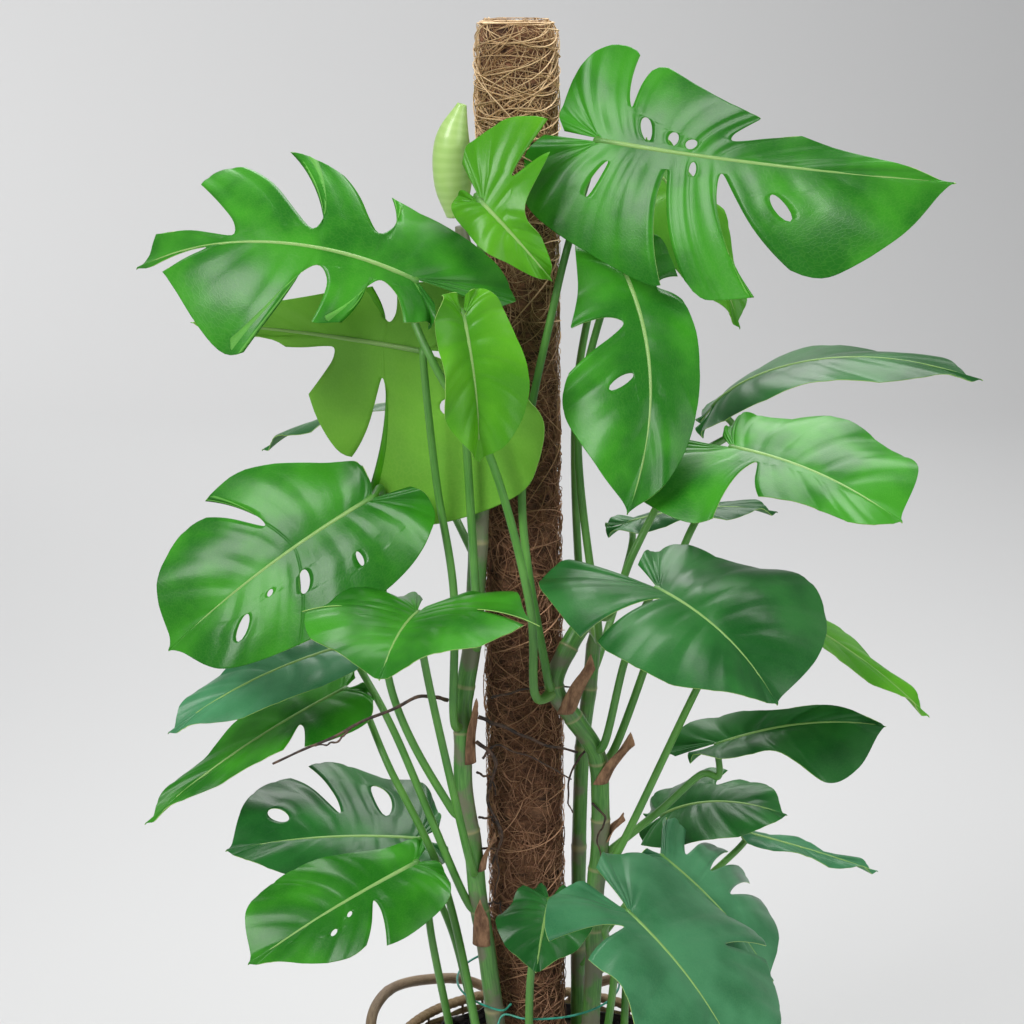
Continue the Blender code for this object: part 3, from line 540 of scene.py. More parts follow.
place(put_surface("potting_mix", [np.concatenate([top_grid, side, base])], [earth]),
      "potting_soil", "soil")


def pebbles(count, reach, sizes, flat, seed):
    """Small lumps: balls of 6 by 9 points with three random widths each, at random places and
    turns, worked out together as one array of lump, row, column."""
    random = np.random.default_rng(seed)
    polar, azimuth = np.linspace(0, math.pi, 6)[:, None], np.linspace(0, 2 * math.pi, 9)[None]
    ball = gather(np.sin(polar) * np.cos(azimuth), np.sin(polar) * np.sin(azimuth), np.cos(polar))
    lump = ball[None] * random.uniform(*sizes, (count, 1, 1, 1))
    lump = lump * random.uniform(0.55, 1.3, (count, 1, 1, 3)) * (1, 1, flat)
    turn, lean = random.uniform(0, 2 * math.pi, count), random.normal(0, 0.35, count)
    c, s, d, e = (f[:, None, None] for f in (np.cos(turn), np.sin(turn), np.cos(lean), np.sin(lean)))
    x, y, z = lump[..., 0] * d + lump[..., 2] * e, lump[..., 1], lump[..., 2] * d - lump[..., 0] * e
    spot = reach * np.sqrt(random.uniform(0.02, 1, count))
    place_turn = random.uniform(0, 2 * math.pi, count)
    at = gather(spot * np.cos(place_turn), spot * np.sin(place_turn), SOIL_LEVEL)
    return np.stack([x * c - y * s, x * s + y * c, z], -1) + at[:, None, None]


bark, start, shader = finish("bark_bits", 0.85)
tone = noise(start, 90, 4)
feed(start, shader, Base_Color=tone.rise(0.35, 0.65).mix((0.035, 0.020, 0.012), (0.16, 0.095, 0.055)),
     height=(tone, 0.002))
BARK_LUMPS, BARK_REACH = 420, 0.138
lumps = pebbles(BARK_LUMPS, BARK_REACH, (0.0025, 0.0065), 0.6, 11)
place(put_surface("bark_lumps", list(lumps), [bark]), "potting_soil", "soil")
print("soil with", BARK_LUMPS, "lumps of bark")

# %% [markdown]
# ## The coir pole
#
# Coir is a mat of stiff fibres from coconut husk, wound round a stake. From close by, one
# sees single fibres crossing each other, so the pole is a rough dark core under thousands
# of thin three-sided strands. A strand is a short walk over the cylinder: its direction
# turns slowly, and it dips into the mat at both ends. Near the top, some strands go right
# round and hold the mat together.

# %% Pole core
POLE_RADIUS = 0.041
POLE_ABOVE_SOIL = 1.155
POLE_FOOT = (-0.010, 0.0)
POLE_LEAN = -0.013


def on_pole(angle, above, lift):
    """The point at an angle and a height over the soil, lifted off the pole's surface, which
    draws in over the last 16 mm."""
    top = np.clip((above - POLE_ABOVE_SOIL + 0.016) / 0.016, 0, 1)
    reach = POLE_RADIUS - 0.003 + lift - 0.007 * top ** 2
    return gather(POLE_FOOT[0] + POLE_LEAN * above + reach * np.cos(angle),
                  POLE_FOOT[1] + reach * np.sin(angle), SOIL_LEVEL + above)


coir_core, start, shader = finish("coir_core", 0.95)
mat = noise(start, 55, 6, 0.75, stretched(start, here(start), (1, 1, 2.2)))
dark = mat.rise(0.35, 0.7).mix((0.055, 0.025, 0.013), (0.38, 0.185, 0.095))
feed(start, shader, Base_Color=dark, height=(mat, 0.006))
angle = np.linspace(0, 2 * math.pi, 97)[None]
above = np.linspace(-0.02, POLE_ABOVE_SOIL - 0.004, 260)[:, None]
rough = 0.0016 * ripple(angle * 5, above * 90, 21, 4) - 0.001
core = on_pole(angle, above, rough)
last = on_pole(angle, np.array([[POLE_ABOVE_SOIL - 0.001]]), -0.008)
tips = np.broadcast_to(on_pole(0, POLE_ABOVE_SOIL - 0.002, 0.003 - POLE_RADIUS), (1, 97, 3))
foot = np.broadcast_to(on_pole(0, -0.03, 0.003 - POLE_RADIUS), (1, 97, 3))
place(put_surface("pole_core", [np.concatenate([foot, core, last, tips])], [coir_core]),
      "coir", "moss_pole")


# %% Coir strands
MAT_STRANDS = 6400
TOP_WRAPS = 150
LOWER_WRAPS = 110


def strands(name, start, heading, bend, length, lift, thick, points, shade):
    """Fibres on the pole. start (angle, height), heading from level, bend in radians over the
    length, lift off the surface, shade: one number each per fibre. Every fibre is a row of
    triangles round a short path, worked out as one array of fibre, point, corner."""
    s = np.linspace(0, 1, points)[None]
    course = heading[:, None] + bend[:, None] * (s - 0.5)
    step = length[:, None] / (points - 1)
    ahead = np.cumsum(np.cos(course) * step, 1) / POLE_RADIUS
    climb = np.cumsum(np.sin(course) * step, 1)
    above = np.clip(start[1][:, None] + climb, 0.001, POLE_ABOVE_SOIL + 0.003 - lift[:, None])
    angle = start[0][:, None] + ahead
    height = lift[:, None] * np.sin(math.pi * s) ** 0.6 - 0.0012 * (1 - np.sin(math.pi * s))
    path = on_pole(angle, above, height)
    tangent = unit(np.gradient(path, axis=1))
    out = outward(angle)
    across = np.cross(tangent, out)
    corner = np.arange(4) * 2 * math.pi / 3
    wide = (thick[:, None] * (0.35 + 0.65 * np.sin(math.pi * s) ** 0.4))[..., None, None]
    ring = np.cos(corner)[:, None] * out[:, :, None] + np.sin(corner)[:, None] * across[:, :, None]
    grid = path[:, :, None] + wide * ring
    shade = np.broadcast_to(shade[:, None, None], grid.shape[:3])
    thing = put_surface(name, list(grid), [coir], values={"shade": list(shade)}, weld=0, turn_out=False)
    return place(thing, "coir", "moss_pole")


coir, start, shader = finish("coir_fibre", 0.7, Specular_IOR_Level=0.35)
shade = value(start, "shade")
deep = shade.mix((0.13, 0.055, 0.028), (0.66, 0.37, 0.22))
straw = shade.mix((0.42, 0.25, 0.11), (0.90, 0.68, 0.40))
level = axis(start, here(start), 2)
# The strands go from the deep browns to pale straw toward the top of the pole, along a ragged border.
paler_toward_top = (level + 0.25 * noise(start, 9, 3) - 0.125).rise(0.95, 1.34)
feed(start, shader, Base_Color=paler_toward_top.mix(deep, straw))

random = np.random.default_rng(4)
count = MAT_STRANDS
where = (random.uniform(0, 2 * math.pi, count), random.uniform(0.0, POLE_ABOVE_SOIL - 0.004, count))
heading = random.normal(0.0, 1.3, count) + np.where(random.random(count) < 0.5, 0, math.pi)
mat_strands = strands("coir_mat", where, heading, random.normal(0, 1.9, count),
                      random.uniform(0.025, 0.08, count), random.uniform(0.0005, 0.0045, count),
                      random.uniform(0.00028, 0.0006, count), 7, random.uniform(0, 1, count) ** 1.3)
count = TOP_WRAPS + LOWER_WRAPS
where = (random.uniform(0, 2 * math.pi, count),
         np.concatenate([random.uniform(1.03, POLE_ABOVE_SOIL, TOP_WRAPS),
                         random.uniform(0.05, 1.1, LOWER_WRAPS)]))
wraps = strands("coir_wraps", where, random.normal(0, 0.55, count), random.normal(0, 1.4, count),
                random.uniform(0.06, 0.20, count), random.uniform(0.0035, 0.0062, count),
                random.uniform(0.0005, 0.0009, count), 22, random.uniform(0.5, 1.0, count))
print("coir strands:", len(mat_strands.data.polygons) + len(wraps.data.polygons), "faces")

# %% [markdown]
# ## Stems
#
# A climbing monstera's stem is a thick green rod with a ring at each old leaf, a little
# swollen below the ring. Light lines run round it, the oldest parts turn grey-brown, and
# scraps of dry brown sheath hang on at some of the rings.

# %% Stem finish
def above_soil(points):
    """Points given from the soil's level, in the scene."""
    return np.asarray(points, float) + (0, 0, SOIL_LEVEL)


stem_skin, start, shader = finish("stem_skin", 0.38, Coat_Weight=0.12)
lines = noise(start, 1.0, 4, 0.6, stretched(start, pattern(start), (26, 30, 1)))
blotch = noise(start, 28, 4)
ring = value(start, "ring")
green = lines.rise(0.3, 0.7).mix((0.050, 0.185, 0.030), (0.115, 0.31, 0.060))
aged = (blotch * 1.1 + 0.12).rise(0.62, 0.80).mix(green, (0.16, 0.17, 0.10))
feed(start, shader, Base_Color=(ring * 0.85).mix(aged, (0.36, 0.33, 0.16)),
     Roughness=0.32 + 0.25 * blotch, height=(lines * 0.5 + blotch, 0.0008))

dry_skin, start, shader = finish("dry_sheath", 0.8)
fibre = noise(start, 1.0, 5, 0.7, stretched(start, here(start), (90, 90, 24)))
feed(start, shader, Base_Color=fibre.rise(0.3, 0.7).mix((0.10, 0.042, 0.020), (0.40, 0.22, 0.12)),
     height=(fibre, 0.003))


# %% Grow the stems
STEM_RADIUS = 0.0105
BACK_STEM_RADIUS = 0.0085
STEM_LEFT = [(-0.045, -0.06, 0.001), (-0.045, -0.06, 0.075), (-0.055, -0.06, 0.17),
             (-0.065, -0.06, 0.24), (-0.07, -0.06, 0.295), (-0.08, -0.06, 0.365),
             (-0.08, -0.06, 0.42), (-0.08, -0.055, 0.46), (-0.07, -0.052, 0.525),
             (-0.066, -0.048, 0.59), (-0.062, -0.046, 0.67), (-0.062, -0.046, 0.755),
             (-0.064, -0.046, 0.84), (-0.074, -0.052, 0.91), (-0.08, -0.056, 0.955)]
STEM_RIGHT = [(0.055, -0.04, 0.001), (0.056, -0.04, 0.065), (0.06, -0.04, 0.16),
              (0.06, -0.04, 0.23), (0.065, -0.04, 0.29), (0.065, -0.042, 0.345),
              (0.06, -0.052, 0.4), (0.035, -0.064, 0.445), (0.015, -0.066, 0.48),
              (0.03, -0.058, 0.52), (0.055, -0.04, 0.555)]
STEM_BACK = [(0.045, 0.028, 0.001), (0.045, 0.028, 0.145), (0.045, 0.028, 0.265),
             (0.048, 0.028, 0.38), (0.055, 0.024, 0.45), (0.06, 0.02, 0.515)]


def stem(name, points, radius, rings):
    """A stem whose radius swells toward each ring and has a fine ridge at it."""
    places = np.linspace(0, 1, 60 * len(points) // 2)
    nearest = (places[:, None] - np.array(rings)[None]) * (len(points) - 1) * 0.07
    gap = nearest[np.arange(len(places)), np.abs(nearest).argmin(1)]
    ridge = np.exp(-(gap / 0.0016) ** 2)
    swell = np.exp(-((gap + 0.006) / 0.010) ** 2)
    radii = radius * (0.93 + 0.06 * swell) + 0.0007 * ridge
    radii = radii * np.where(places > 0.95, 1 - 0.4 * (places - 0.95) / 0.05, 1)
    grid, uv = tube_grid(spline(above_soil(points), places), radii, 20)
    mark = np.concatenate([[0], ridge, [0]])[:, None] + 0 * uv[..., 0]
    thing = put_surface(name + "_skin", [grid], [stem_skin], [uv], {"ring": [mark]})
    place(thing, "stem_green", name)


stem("stem_left", STEM_LEFT, STEM_RADIUS, (0.10, 0.20, 0.31, 0.44, 0.52, 0.60, 0.68, 0.77, 0.86, 0.94))
stem("stem_right", STEM_RIGHT, STEM_RADIUS, (0.12, 0.25, 0.36, 0.46, 0.585, 0.70, 0.80, 0.90))
stem("stem_back", STEM_BACK, BACK_STEM_RADIUS, (0.2, 0.4, 0.6, 0.8))


def sheath(base, lean, length, turn, wide, seed):
    """A dry scrap at a ring: part of a cone that opens upward and curls at its torn top."""
    t, a = np.linspace(0, 1, 16)[:, None], np.linspace(-0.5, 0.5, 13)[None]
    reach = 0.0112 + 0.010 * t ** 2 + 0.002 * ripple(a * 6, t * 5, seed, 3) * t
    angle = turn + a * wide * (1 - 0.75 * t)
    x, y, z = above_soil(base)
    up = t * length * (1 - 0.25 * np.abs(a) * 2 * t)
    return gather(x + reach * np.cos(angle) + lean[0] * t, y + reach * np.sin(angle) + lean[1] * t, z + up)


SHEATHS = {"stem_right": [((0.062, -0.047, 0.368), (0.022, -0.004), 0.062, -1.0, 2.2, 1),
                          ((0.026, -0.066, 0.452), (0.02, -0.004), 0.07, -1.3, 2.2, 2),
                          ((0.064, -0.041, 0.3), (0.006, -0.002), 0.03, 0.2, 2.0, 3)],
           "stem_left": [((-0.078, -0.06, 0.395), (-0.006, -0.004), 0.075, -0.6, 2.0, 4),
                         ((-0.06, -0.06, 0.19), (0.004, -0.004), 0.06, -1.9, 2.2, 5),
                         ((-0.068, -0.06, 0.275), (0.002, -0.002), 0.045, -0.4, 1.8, 6)]}
for name, scraps in SHEATHS.items():
    scrap = put_surface(name + "_sheaths", [sheath(*s) for s in scraps], [dry_skin], turn_out=False)
    thicken(scrap, "thin", 0.0007)
    place(scrap, "stem_green", name)
print("three stems and their dry sheaths")

# %% [markdown]
# ## Aerial roots and the wire tie
#
# The roots are thin dark cords that wander over the pole, so each follows its own spline
# with a small wobble and a few side roots. The tie is a coated garden wire with the two
# ends crossed in front.

# %% Roots
ROOT_RADIUS = 0.0022
ROOTS = {
    "aerial_root_1": [(-0.096, -0.068, 0.465), (-0.125, -0.09, 0.475), (-0.195, -0.1, 0.445),
                      (-0.275, -0.11, 0.41)],
    "aerial_root_2": [(-0.064, -0.072, 0.448), (-0.04, -0.078, 0.44), (0, -0.066, 0.418),
                      (0.04, -0.06, 0.405)],
    "aerial_root_3": [(-0.066, -0.07, 0.42), (-0.045, -0.062, 0.395), (-0.056, -0.048, 0.35),
                      (-0.04, -0.056, 0.315), (-0.05, -0.048, 0.275)],
}
SIDE_ROOTS = {
    "aerial_root_1": [[(-0.195, -0.1, 0.445), (-0.21, -0.104, 0.432), (-0.232, -0.106, 0.428)]],
    "aerial_root_2": [[(-0.05, -0.074, 0.47), (-0.02, -0.064, 0.474), (0.02, -0.058, 0.478),
                       (0.04, -0.052, 0.47)],
                      [(-0.06, -0.066, 0.4), (-0.045, -0.06, 0.412), (-0.005, -0.056, 0.396),
                       (0.034, -0.052, 0.372)],
                      [(0.05, -0.05, 0.405), (0.036, -0.05, 0.385), (0.03, -0.045, 0.35),
                       (0.036, -0.04, 0.33)],
                      [(0.056, -0.05, 0.345), (0.07, -0.06, 0.33), (0.062, -0.056, 0.31),
                       (0.066, -0.052, 0.285)]],
    "aerial_root_3": [[(-0.066, -0.066, 0.385), (-0.05, -0.054, 0.372), (-0.046, -0.046, 0.352)],
                      [(-0.064, -0.066, 0.335), (-0.048, -0.052, 0.326), (-0.04, -0.044, 0.3)],
                      [(-0.06, -0.066, 0.3), (-0.046, -0.052, 0.292), (-0.044, -0.044, 0.262),
                       (-0.048, -0.042, 0.235)],
                      [(-0.062, -0.066, 0.235), (-0.044, -0.05, 0.232), (-0.04, -0.044, 0.215)]],
}
root_skin, start, shader = finish("root_skin", 0.62)
scar = noise(start, 140, 4)
feed(start, shader, Base_Color=scar.rise(0.35, 0.7).mix((0.018, 0.009, 0.007), (0.12, 0.065, 0.040)),
     height=(scar, 0.0015))
for title, points in ROOTS.items():
    grids = []
    for k, line in enumerate([points] + SIDE_ROOTS[title]):
        s = np.linspace(0, 1, 40)
        path = spline(above_soil(line), s) + wobble(s, (17, 13, 23), k)
        radii = ROOT_RADIUS * (1 if k == 0 else 0.62) * (1 - 0.45 * s) + 0.0001 * np.sin(60 * s)
        grids.append(tube_grid(path, radii, 9)[0])
    place(put_surface(title + "_skin", grids, [root_skin]), "root_brown", title)

# %% Wire tie
TIE_RADIUS = 0.0895
TIE_CENTRE = -0.006
TIE_HEIGHT = 0.118
TIE_RISE = 0.006
WIRE_RADIUS = 0.0012
coating, start, shader = finish("wire_coating", 0.35, Coat_Weight=0.2)
worn = noise(start, 120, 3)
feed(start, shader, Base_Color=worn.rise(0.3, 0.7).mix((0.012, 0.20, 0.13), (0.03, 0.36, 0.26)),
     Roughness=0.28 + 0.2 * worn)
route = [(-0.048, -0.104, TIE_HEIGHT - 0.022)]
for degrees in range(-116, 250, 15):
    angle = math.radians(degrees)
    route.append((TIE_RADIUS * math.cos(angle), TIE_CENTRE + TIE_RADIUS * math.sin(angle),
                  TIE_HEIGHT + TIE_RISE * (degrees + 116) / 360))
route.append((-0.030, -0.100, TIE_HEIGHT + 0.020))
grid, _ = tube_grid(spline(above_soil(route), np.linspace(0, 1, 240)), WIRE_RADIUS, 10)
place(put_surface("tie_coating", [grid], [coating]), "green_wire", "tie_wire")
print("three roots and a wire tie")

# %% [markdown]
# ## The blade as a formula
#
# A monstera blade looks wild, but it follows a rule. Side veins run from the midrib to the
# margin, and the windows lie between them: an open window is a slit, a closed one a hole.
# So a point on one half of a blade is given by two numbers: u says which vein, from the
# rear lobe (0) to the tip (1), and t how far along that vein. A window is then a gap in u
# whose width depends on t. The flat blade is bent afterwards: along the midrib, up from
# the midrib as a fold, and down toward the margin as a curl.

# %% Leaves and their bends
def half(back, widths, fold=10, curl=30, cuts=()):
    """One side of a blade: how far its rear lobe reaches back, how far it reaches out at 2,
    34, 64 and 86 hundredths of the midrib, its fold and curl in degrees, and its windows
    (vein, start, end, half width, drop)."""
    return dict(back=back, widths=widths, fold=math.radians(fold), curl=math.radians(max(curl, 0.1)),
                cuts=sorted(cuts))


def leaf(junction, tip, stalk, left, right=None, roll=0, droop=30, bend=1.3, tuck=20, twist=0,
         gap=0.12, curve=0):
    """A blade from its junction with the stalk to its tip, and the points of its stalk. The
    halves are alike if no right one is given."""
    return dict(junction=np.array(junction), tip=np.array(tip), stalk=stalk, left=left,
                right=right or left, roll=math.radians(roll), droop=math.radians(droop),
                bend=bend, tuck=math.radians(tuck), twist=math.radians(twist), gap=gap,
                curve=math.radians(curve))


LEAVES = {
    "leaf_01": leaf((0.055, -0.06, 1.04), (0.39, -0.16, 1.005),
                    [(0.006, -0.08, 0.5), (-0.02, -0.065, 0.69), (0.015, -0.06, 0.89)],
                    half(0.045, (0.1, 0.056, 0.026, 0.012), 10, 15,
                         [(0.405, 0.4, 1, 0.012), (0.435, 0.08, 0.36, 0.012), (0.49, 0.1, 0.32, 0.01),
                          (0.525, 0.1, 0.3, 0.01), (0.57, 0.5, 1, 0.022)]),
                    half(0.07, (0.108, 0.138, 0.112, 0.06), 0, 20,
                         [(0.365, 0.18, 0.55, 0.008), (0.49, 0.13, 1, 0.016), (0.54, 0.05, 0.16, 0.007),
                          (0.595, 0.12, 1, 0.03), (0.67, 0.3, 0.55, 0.01)]),
                    roll=66, droop=12, tuck=10, gap=0.03, curve=10),
    "leaf_02": leaf((0.115, 0.03, 1.01), (0.205, -0.01, 0.845),
                    [(0.045, 0.04, 0.54), (0.04, 0.035, 0.785)],
                    half(0.03, (0.05, 0.06, 0.04, 0.02), cuts=[(0.5, 0.5, 1, 0.03)]),
                    half(0.03, (0.07, 0.075, 0.05, 0.02)), roll=20),
    "leaf_03": leaf((0.08, -0.068, 0.916), (0.083, -0.165, 0.685),
                    [(0.062, -0.01, 0.53), (0.04, -0.03, 0.745)],
                    half(0.03, (0.055, 0.05, 0.045, 0.025), cuts=[(0.43, 0.45, 1, 0.02)]),
                    half(0.045, (0.05, 0.085, 0.085, 0.04),
                         cuts=[(0.5, 0.22, 1, 0.05), (0.64, 0.2, 0.5, 0.012)]),
                    droop=25, curve=-45),
    "leaf_04": leaf((0.185, 0.05, 0.755), (0.46, 0, 0.79),
                    [(0.075, -0.02, 0.545), (0.1, -0.015, 0.61), (0.15, 0.01, 0.695)],
                    half(0.03, (0.06, 0.08, 0.06, 0.03), 5, 15),
                    half(0.03, (0.05, 0.06, 0.05, 0.025), -8, 15),
                    roll=2, droop=75, bend=0.55, tuck=-10),
    "leaf_05": leaf((0.19, -0.1, 0.74), (0.345, -0.2, 0.685),
                    [(0.082, -0.038, 0.405), (0.115, -0.035, 0.5), (0.15, -0.05, 0.63)],
                    half(0.02, (0.06, 0.085, 0.085, 0.07), 20, 25),
                    half(0.135, (0.11, 0.075, 0.045, 0.04), 0, 40, [(0.47, 0.2, 1, 0.045)]),
                    roll=15, tuck=-10),
    "leaf_06": leaf((0.105, 0.15, 0.605), (0.27, 0.15, 0.615), [(0.066, 0.04, 0.48)],
                    half(0.03, (0.03, 0.035, 0.03, 0.015)), roll=5),
    "leaf_07": leaf((0.115, -0.14, 0.605), (0.225, -0.24, 0.515),
                    [(0.068, -0.068, 0.42), (0.085, -0.075, 0.505)],
                    half(0.05, (0.1, 0.15, 0.14, 0.07), 20, 30),
                    half(0.1, (0.125, 0.13, 0.1, 0.05), 5, 35, [(0.4, 0.15, 1, 0.02)]), droop=40),
    "leaf_08": leaf((-0.119, -0.21, 0.6), (-0.15, -0.33, 0.568),
                    [(-0.074, -0.08, 0.29), (-0.103, -0.136, 0.455)],
                    half(0.08, (0.11, 0.14, 0.1, 0.05), 25, 50, [(0.5, 0.5, 1, 0.03)]),
                    half(0.07, (0.095, 0.11, 0.09, 0.045), 18, 35, [(0.5, 0.6, 1, 0.015)]), droop=40),
    "leaf_09": leaf((-0.172, -0.084, 0.684), (-0.378, -0.108, 0.53),
                    [(-0.096, -0.068, 0.35), (-0.155, -0.08, 0.49)],
                    half(0.05, (0.085, 0.095, 0.08, 0.055), 10, 20,
                         [(0.45, 0.45, 0.62, 0.006), (0.58, 0.3, 0.55, 0.014), (0.67, 0.3, 0.38, 0.008),
                          (0.73, 0.45, 0.75, 0.014)]),
                    half(0.01, (0.05, 0.1, 0.095, 0.06), cuts=[(0.59, 0.36, 1, 0.022)]),
                    roll=-60, droop=20, curve=8),
    "leaf_10": leaf((-0.205, 0, 0.505), (-0.39, -0.06, 0.425),
                    [(-0.08, -0.06, 0.245), (-0.15, -0.03, 0.41)],
                    half(0.03, (0.04, 0.05, 0.04, 0.02)), roll=-20),
    "leaf_11": leaf((-0.21, 0.02, 0.45), (-0.42, -0.05, 0.32),
                    [(-0.06, -0.075, 0.001), (-0.066, -0.078, 0.095), (-0.102, -0.046, 0.255),
                     (-0.162, -0.006, 0.37)],
                    half(0.02, (0.065, 0.055, 0.03, 0.015), cuts=[(0.5, 0.4, 1, 0.02)]),
                    half(0.02, (0.06, 0.05, 0.03, 0.015)), roll=-15, droop=20),
    "leaf_12": leaf((-0.13, 0, 0.285), (-0.335, -0.05, 0.29),
                    [(-0.06, -0.03, 0.001), (-0.066, -0.03, 0.06), (-0.092, -0.02, 0.175)],
                    half(0.03, (0.05, 0.06, 0.05, 0.03), cuts=[(0.45, 0.4, 0.7, 0.03)]),
                    half(0.03, (0.1, 0.12, 0.12, 0.06),
                         cuts=[(0.45, 0.25, 0.7, 0.025), (0.6, 0.25, 1, 0.03), (0.75, 0.4, 0.7, 0.02)]),
                    roll=-25, droop=25),
    "leaf_13": leaf((-0.13, -0.08, 0.29), (-0.3, -0.16, 0.21),
                    [(-0.085, -0.055, 0.001), (-0.095, -0.06, 0.08), (-0.115, -0.085, 0.205)],
                    half(0.02, (0.06, 0.07, 0.05, 0.02),
                         cuts=[(0.54, 0.25, 1, 0.022), (0.62, 0.25, 0.36, 0.008), (0.655, 0.5, 0.62, 0.008)]),
                    half(0.02, (0.03, 0.05, 0.07, 0.05)), roll=-35, droop=20),
    "leaf_14": leaf((0.01, -0.12, 0.265), (-0.005, -0.2, 0.22),
                    [(-0.01, -0.098, 0.001), (-0.012, -0.1, 0.105), (-0.008, -0.108, 0.19)],
                    half(0.02, (0.04, 0.05, 0.04, 0.02))),
    "leaf_15": leaf((0.088, -0.18, 0.278), (0.198, -0.29, 0.152),
                    [(0.066, -0.078, 0.001), (0.07, -0.086, 0.08), (0.078, -0.13, 0.195)],
                    half(0.08, (0.14, 0.17, 0.15, 0.08), cuts=[(0.56, 0.5, 1, 0.02)]),
                    half(0.05, (0.13, 0.1, 0.11, 0.07), cuts=[(0.4, 0.25, 1, 0.04)]), roll=-10),
    "leaf_16": leaf((0.133, -0.025, 0.275), (0.252, -0.062, 0.145),
                    [(0.092, -0.03, 0.001), (0.094, -0.03, 0.06), (0.098, -0.032, 0.17)],
                    half(0.02, (0.105, 0.14, 0.15, 0.08),
                         cuts=[(0.42, 0.28, 1, 0.032), (0.53, 0.28, 1, 0.028), (0.64, 0.25, 1, 0.03)]),
                    half(0.02, (0.06, 0.065, 0.06, 0.04), 10, 20, [(0.5, 0.4, 1, 0.03)]), droop=25, gap=0.3),
    "leaf_17": leaf((0.144, 0.132, 0.261), (0.283, 0.092, 0.276), [(0.062, 0.034, 0.14)],
                    half(0.03, (0.05, 0.06, 0.05, 0.03), cuts=[(0.6, 0.5, 1, 0.03)]),
                    half(0.03, (0.05, 0.06, 0.05, 0.03)), roll=25, droop=70, bend=0.9),
    "leaf_18": leaf((0.24, 0.12, 0.245), (0.39, 0.1, 0.205), [(0.06, 0.04, 0.1)],
                    half(0.02, (0.02, 0.025, 0.02, 0.01)), droop=5),
    "leaf_19": leaf((0.19, -0.02, 0.4), (0.365, -0.05, 0.43),
                    [(0.082, -0.036, 0.29), (0.13, -0.02, 0.325), (0.172, -0.018, 0.365)],
                    half(0.06, (0.05, 0.02, 0.02, 0.01), 35, 30),
                    half(0.03, (0.04, 0.04, 0.07, 0.05)), twist=60),
    "leaf_20": leaf((0.235, 0, 0.555), (0.41, -0.05, 0.44),
                    [(0.08, -0.054, 0.285), (0.17, -0.02, 0.47)],
                    half(0.03, (0.04, 0.05, 0.04, 0.02)),
                    half(0.03, (0.04, 0.05, 0.04, 0.02), cuts=[(0.5, 0.4, 1, 0.03, 0.02)]), droop=20),
    "leaf_21": leaf((-0.121, -0.15, 0.912), (-0.395, -0.11, 0.918),
                    [(-0.006, -0.094, 0.48), (-0.012, -0.104, 0.58), (-0.05, -0.13, 0.735),
                     (-0.099, -0.152, 0.823)],
                    half(0.03, (0.05, 0.08, 0.11, 0.02), -10, 30,
                         [(0.42, 0.25, 1, 0.06, 0.01), (0.56, 0.18, 1, 0.07), (0.8, 0.25, 1, 0.05)]),
                    half(0.11, (0.08, 0.1, 0.12, 0.05), 15, 30,
                         [(0.45, 0.35, 1, 0.045), (0.585, 0.16, 1, 0.06), (0.75, 0.16, 1, 0.05)]),
                    roll=-42, droop=75, bend=1),
    "leaf_22": leaf((-0.114, -0.09, 0.834), (-0.352, -0.06, 0.859),
                    [(-0.09, -0.074, 0.45), (-0.088, -0.08, 0.585), (-0.104, -0.092, 0.704)],
                    half(0.08, (0.07, 0.05, 0.03, 0.02), 12, 15, [(0.46, 0.4, 1, 0.03)]),
                    half(0.13, (0.19, 0.15, 0.02, 0.015), 14, 15,
                         [(0.3, 0.3, 0.4, 0.02), (0.47, 0.22, 1, 0.032), (0.6, 0.3, 1, 0.028)]),
                    roll=86),
    "leaf_23": leaf((-0.15, 0.1, 0.75), (-0.3, 0.08, 0.7), [(-0.072, -0.03, 0.62)],
                    half(0.03, (0.03, 0.05, 0.045, 0.025)), roll=10),
    "leaf_24": leaf((-0.076, -0.175, 0.884), (-0.061, -0.176, 0.739),
                    [(-0.064, -0.072, 0.54), (-0.074, -0.106, 0.748), (-0.082, -0.138, 0.835)],
                    half(0.02, (0.04, 0.05, 0.05, 0.025), 35, 30),
                    half(0.02, (0.035, 0.04, 0.04, 0.02), 35, 30), roll=60),
    "leaf_25": leaf((-0.06, -0.118, 0.985), (0.01, -0.124, 0.908), [(-0.057, -0.08, 0.885)],
                    half(0.05, (0.11, 0.03, 0.02, 0.01), 10, 20, [(0.37, 0.35, 1, 0.04)]),
                    half(0.02, (0.03, 0.03, 0.02, 0.01)), roll=75, droop=40),
}
# The dark tone is painted shade: the leaf green darkened for leaves in the shade of others. The bright tone
# is partly the real yellow-green of young leaves and partly painted light, the glow of light through the
# blade and its sheen.
LEAF_TONE = {"leaf_02": "bright", "leaf_06": "dark", "leaf_10": "blue", "leaf_12": "dark",
             "leaf_13": "bright", "leaf_15": "blue", "leaf_16": "blue", "leaf_18": "blue",
             "leaf_20": "bright", "leaf_22": "bright", "leaf_23": "dark", "leaf_24": "bright",
             "leaf_25": "bright"}
MIDRIB_STEPS = np.linspace(-0.8, 1.02, 240)
VEIN_SWEEP = 0.10
KNEE_HOLE = 0.0035
KNEE_SHARE = 0.28
REAR_TURN = math.radians(150)
WAVE = 0.005
WAVES_PER_HALF = 4.3
VEIN_SPACING = 0.085
COLUMN_WIDTH = 0.013
ROWS_PER_REACH = 26


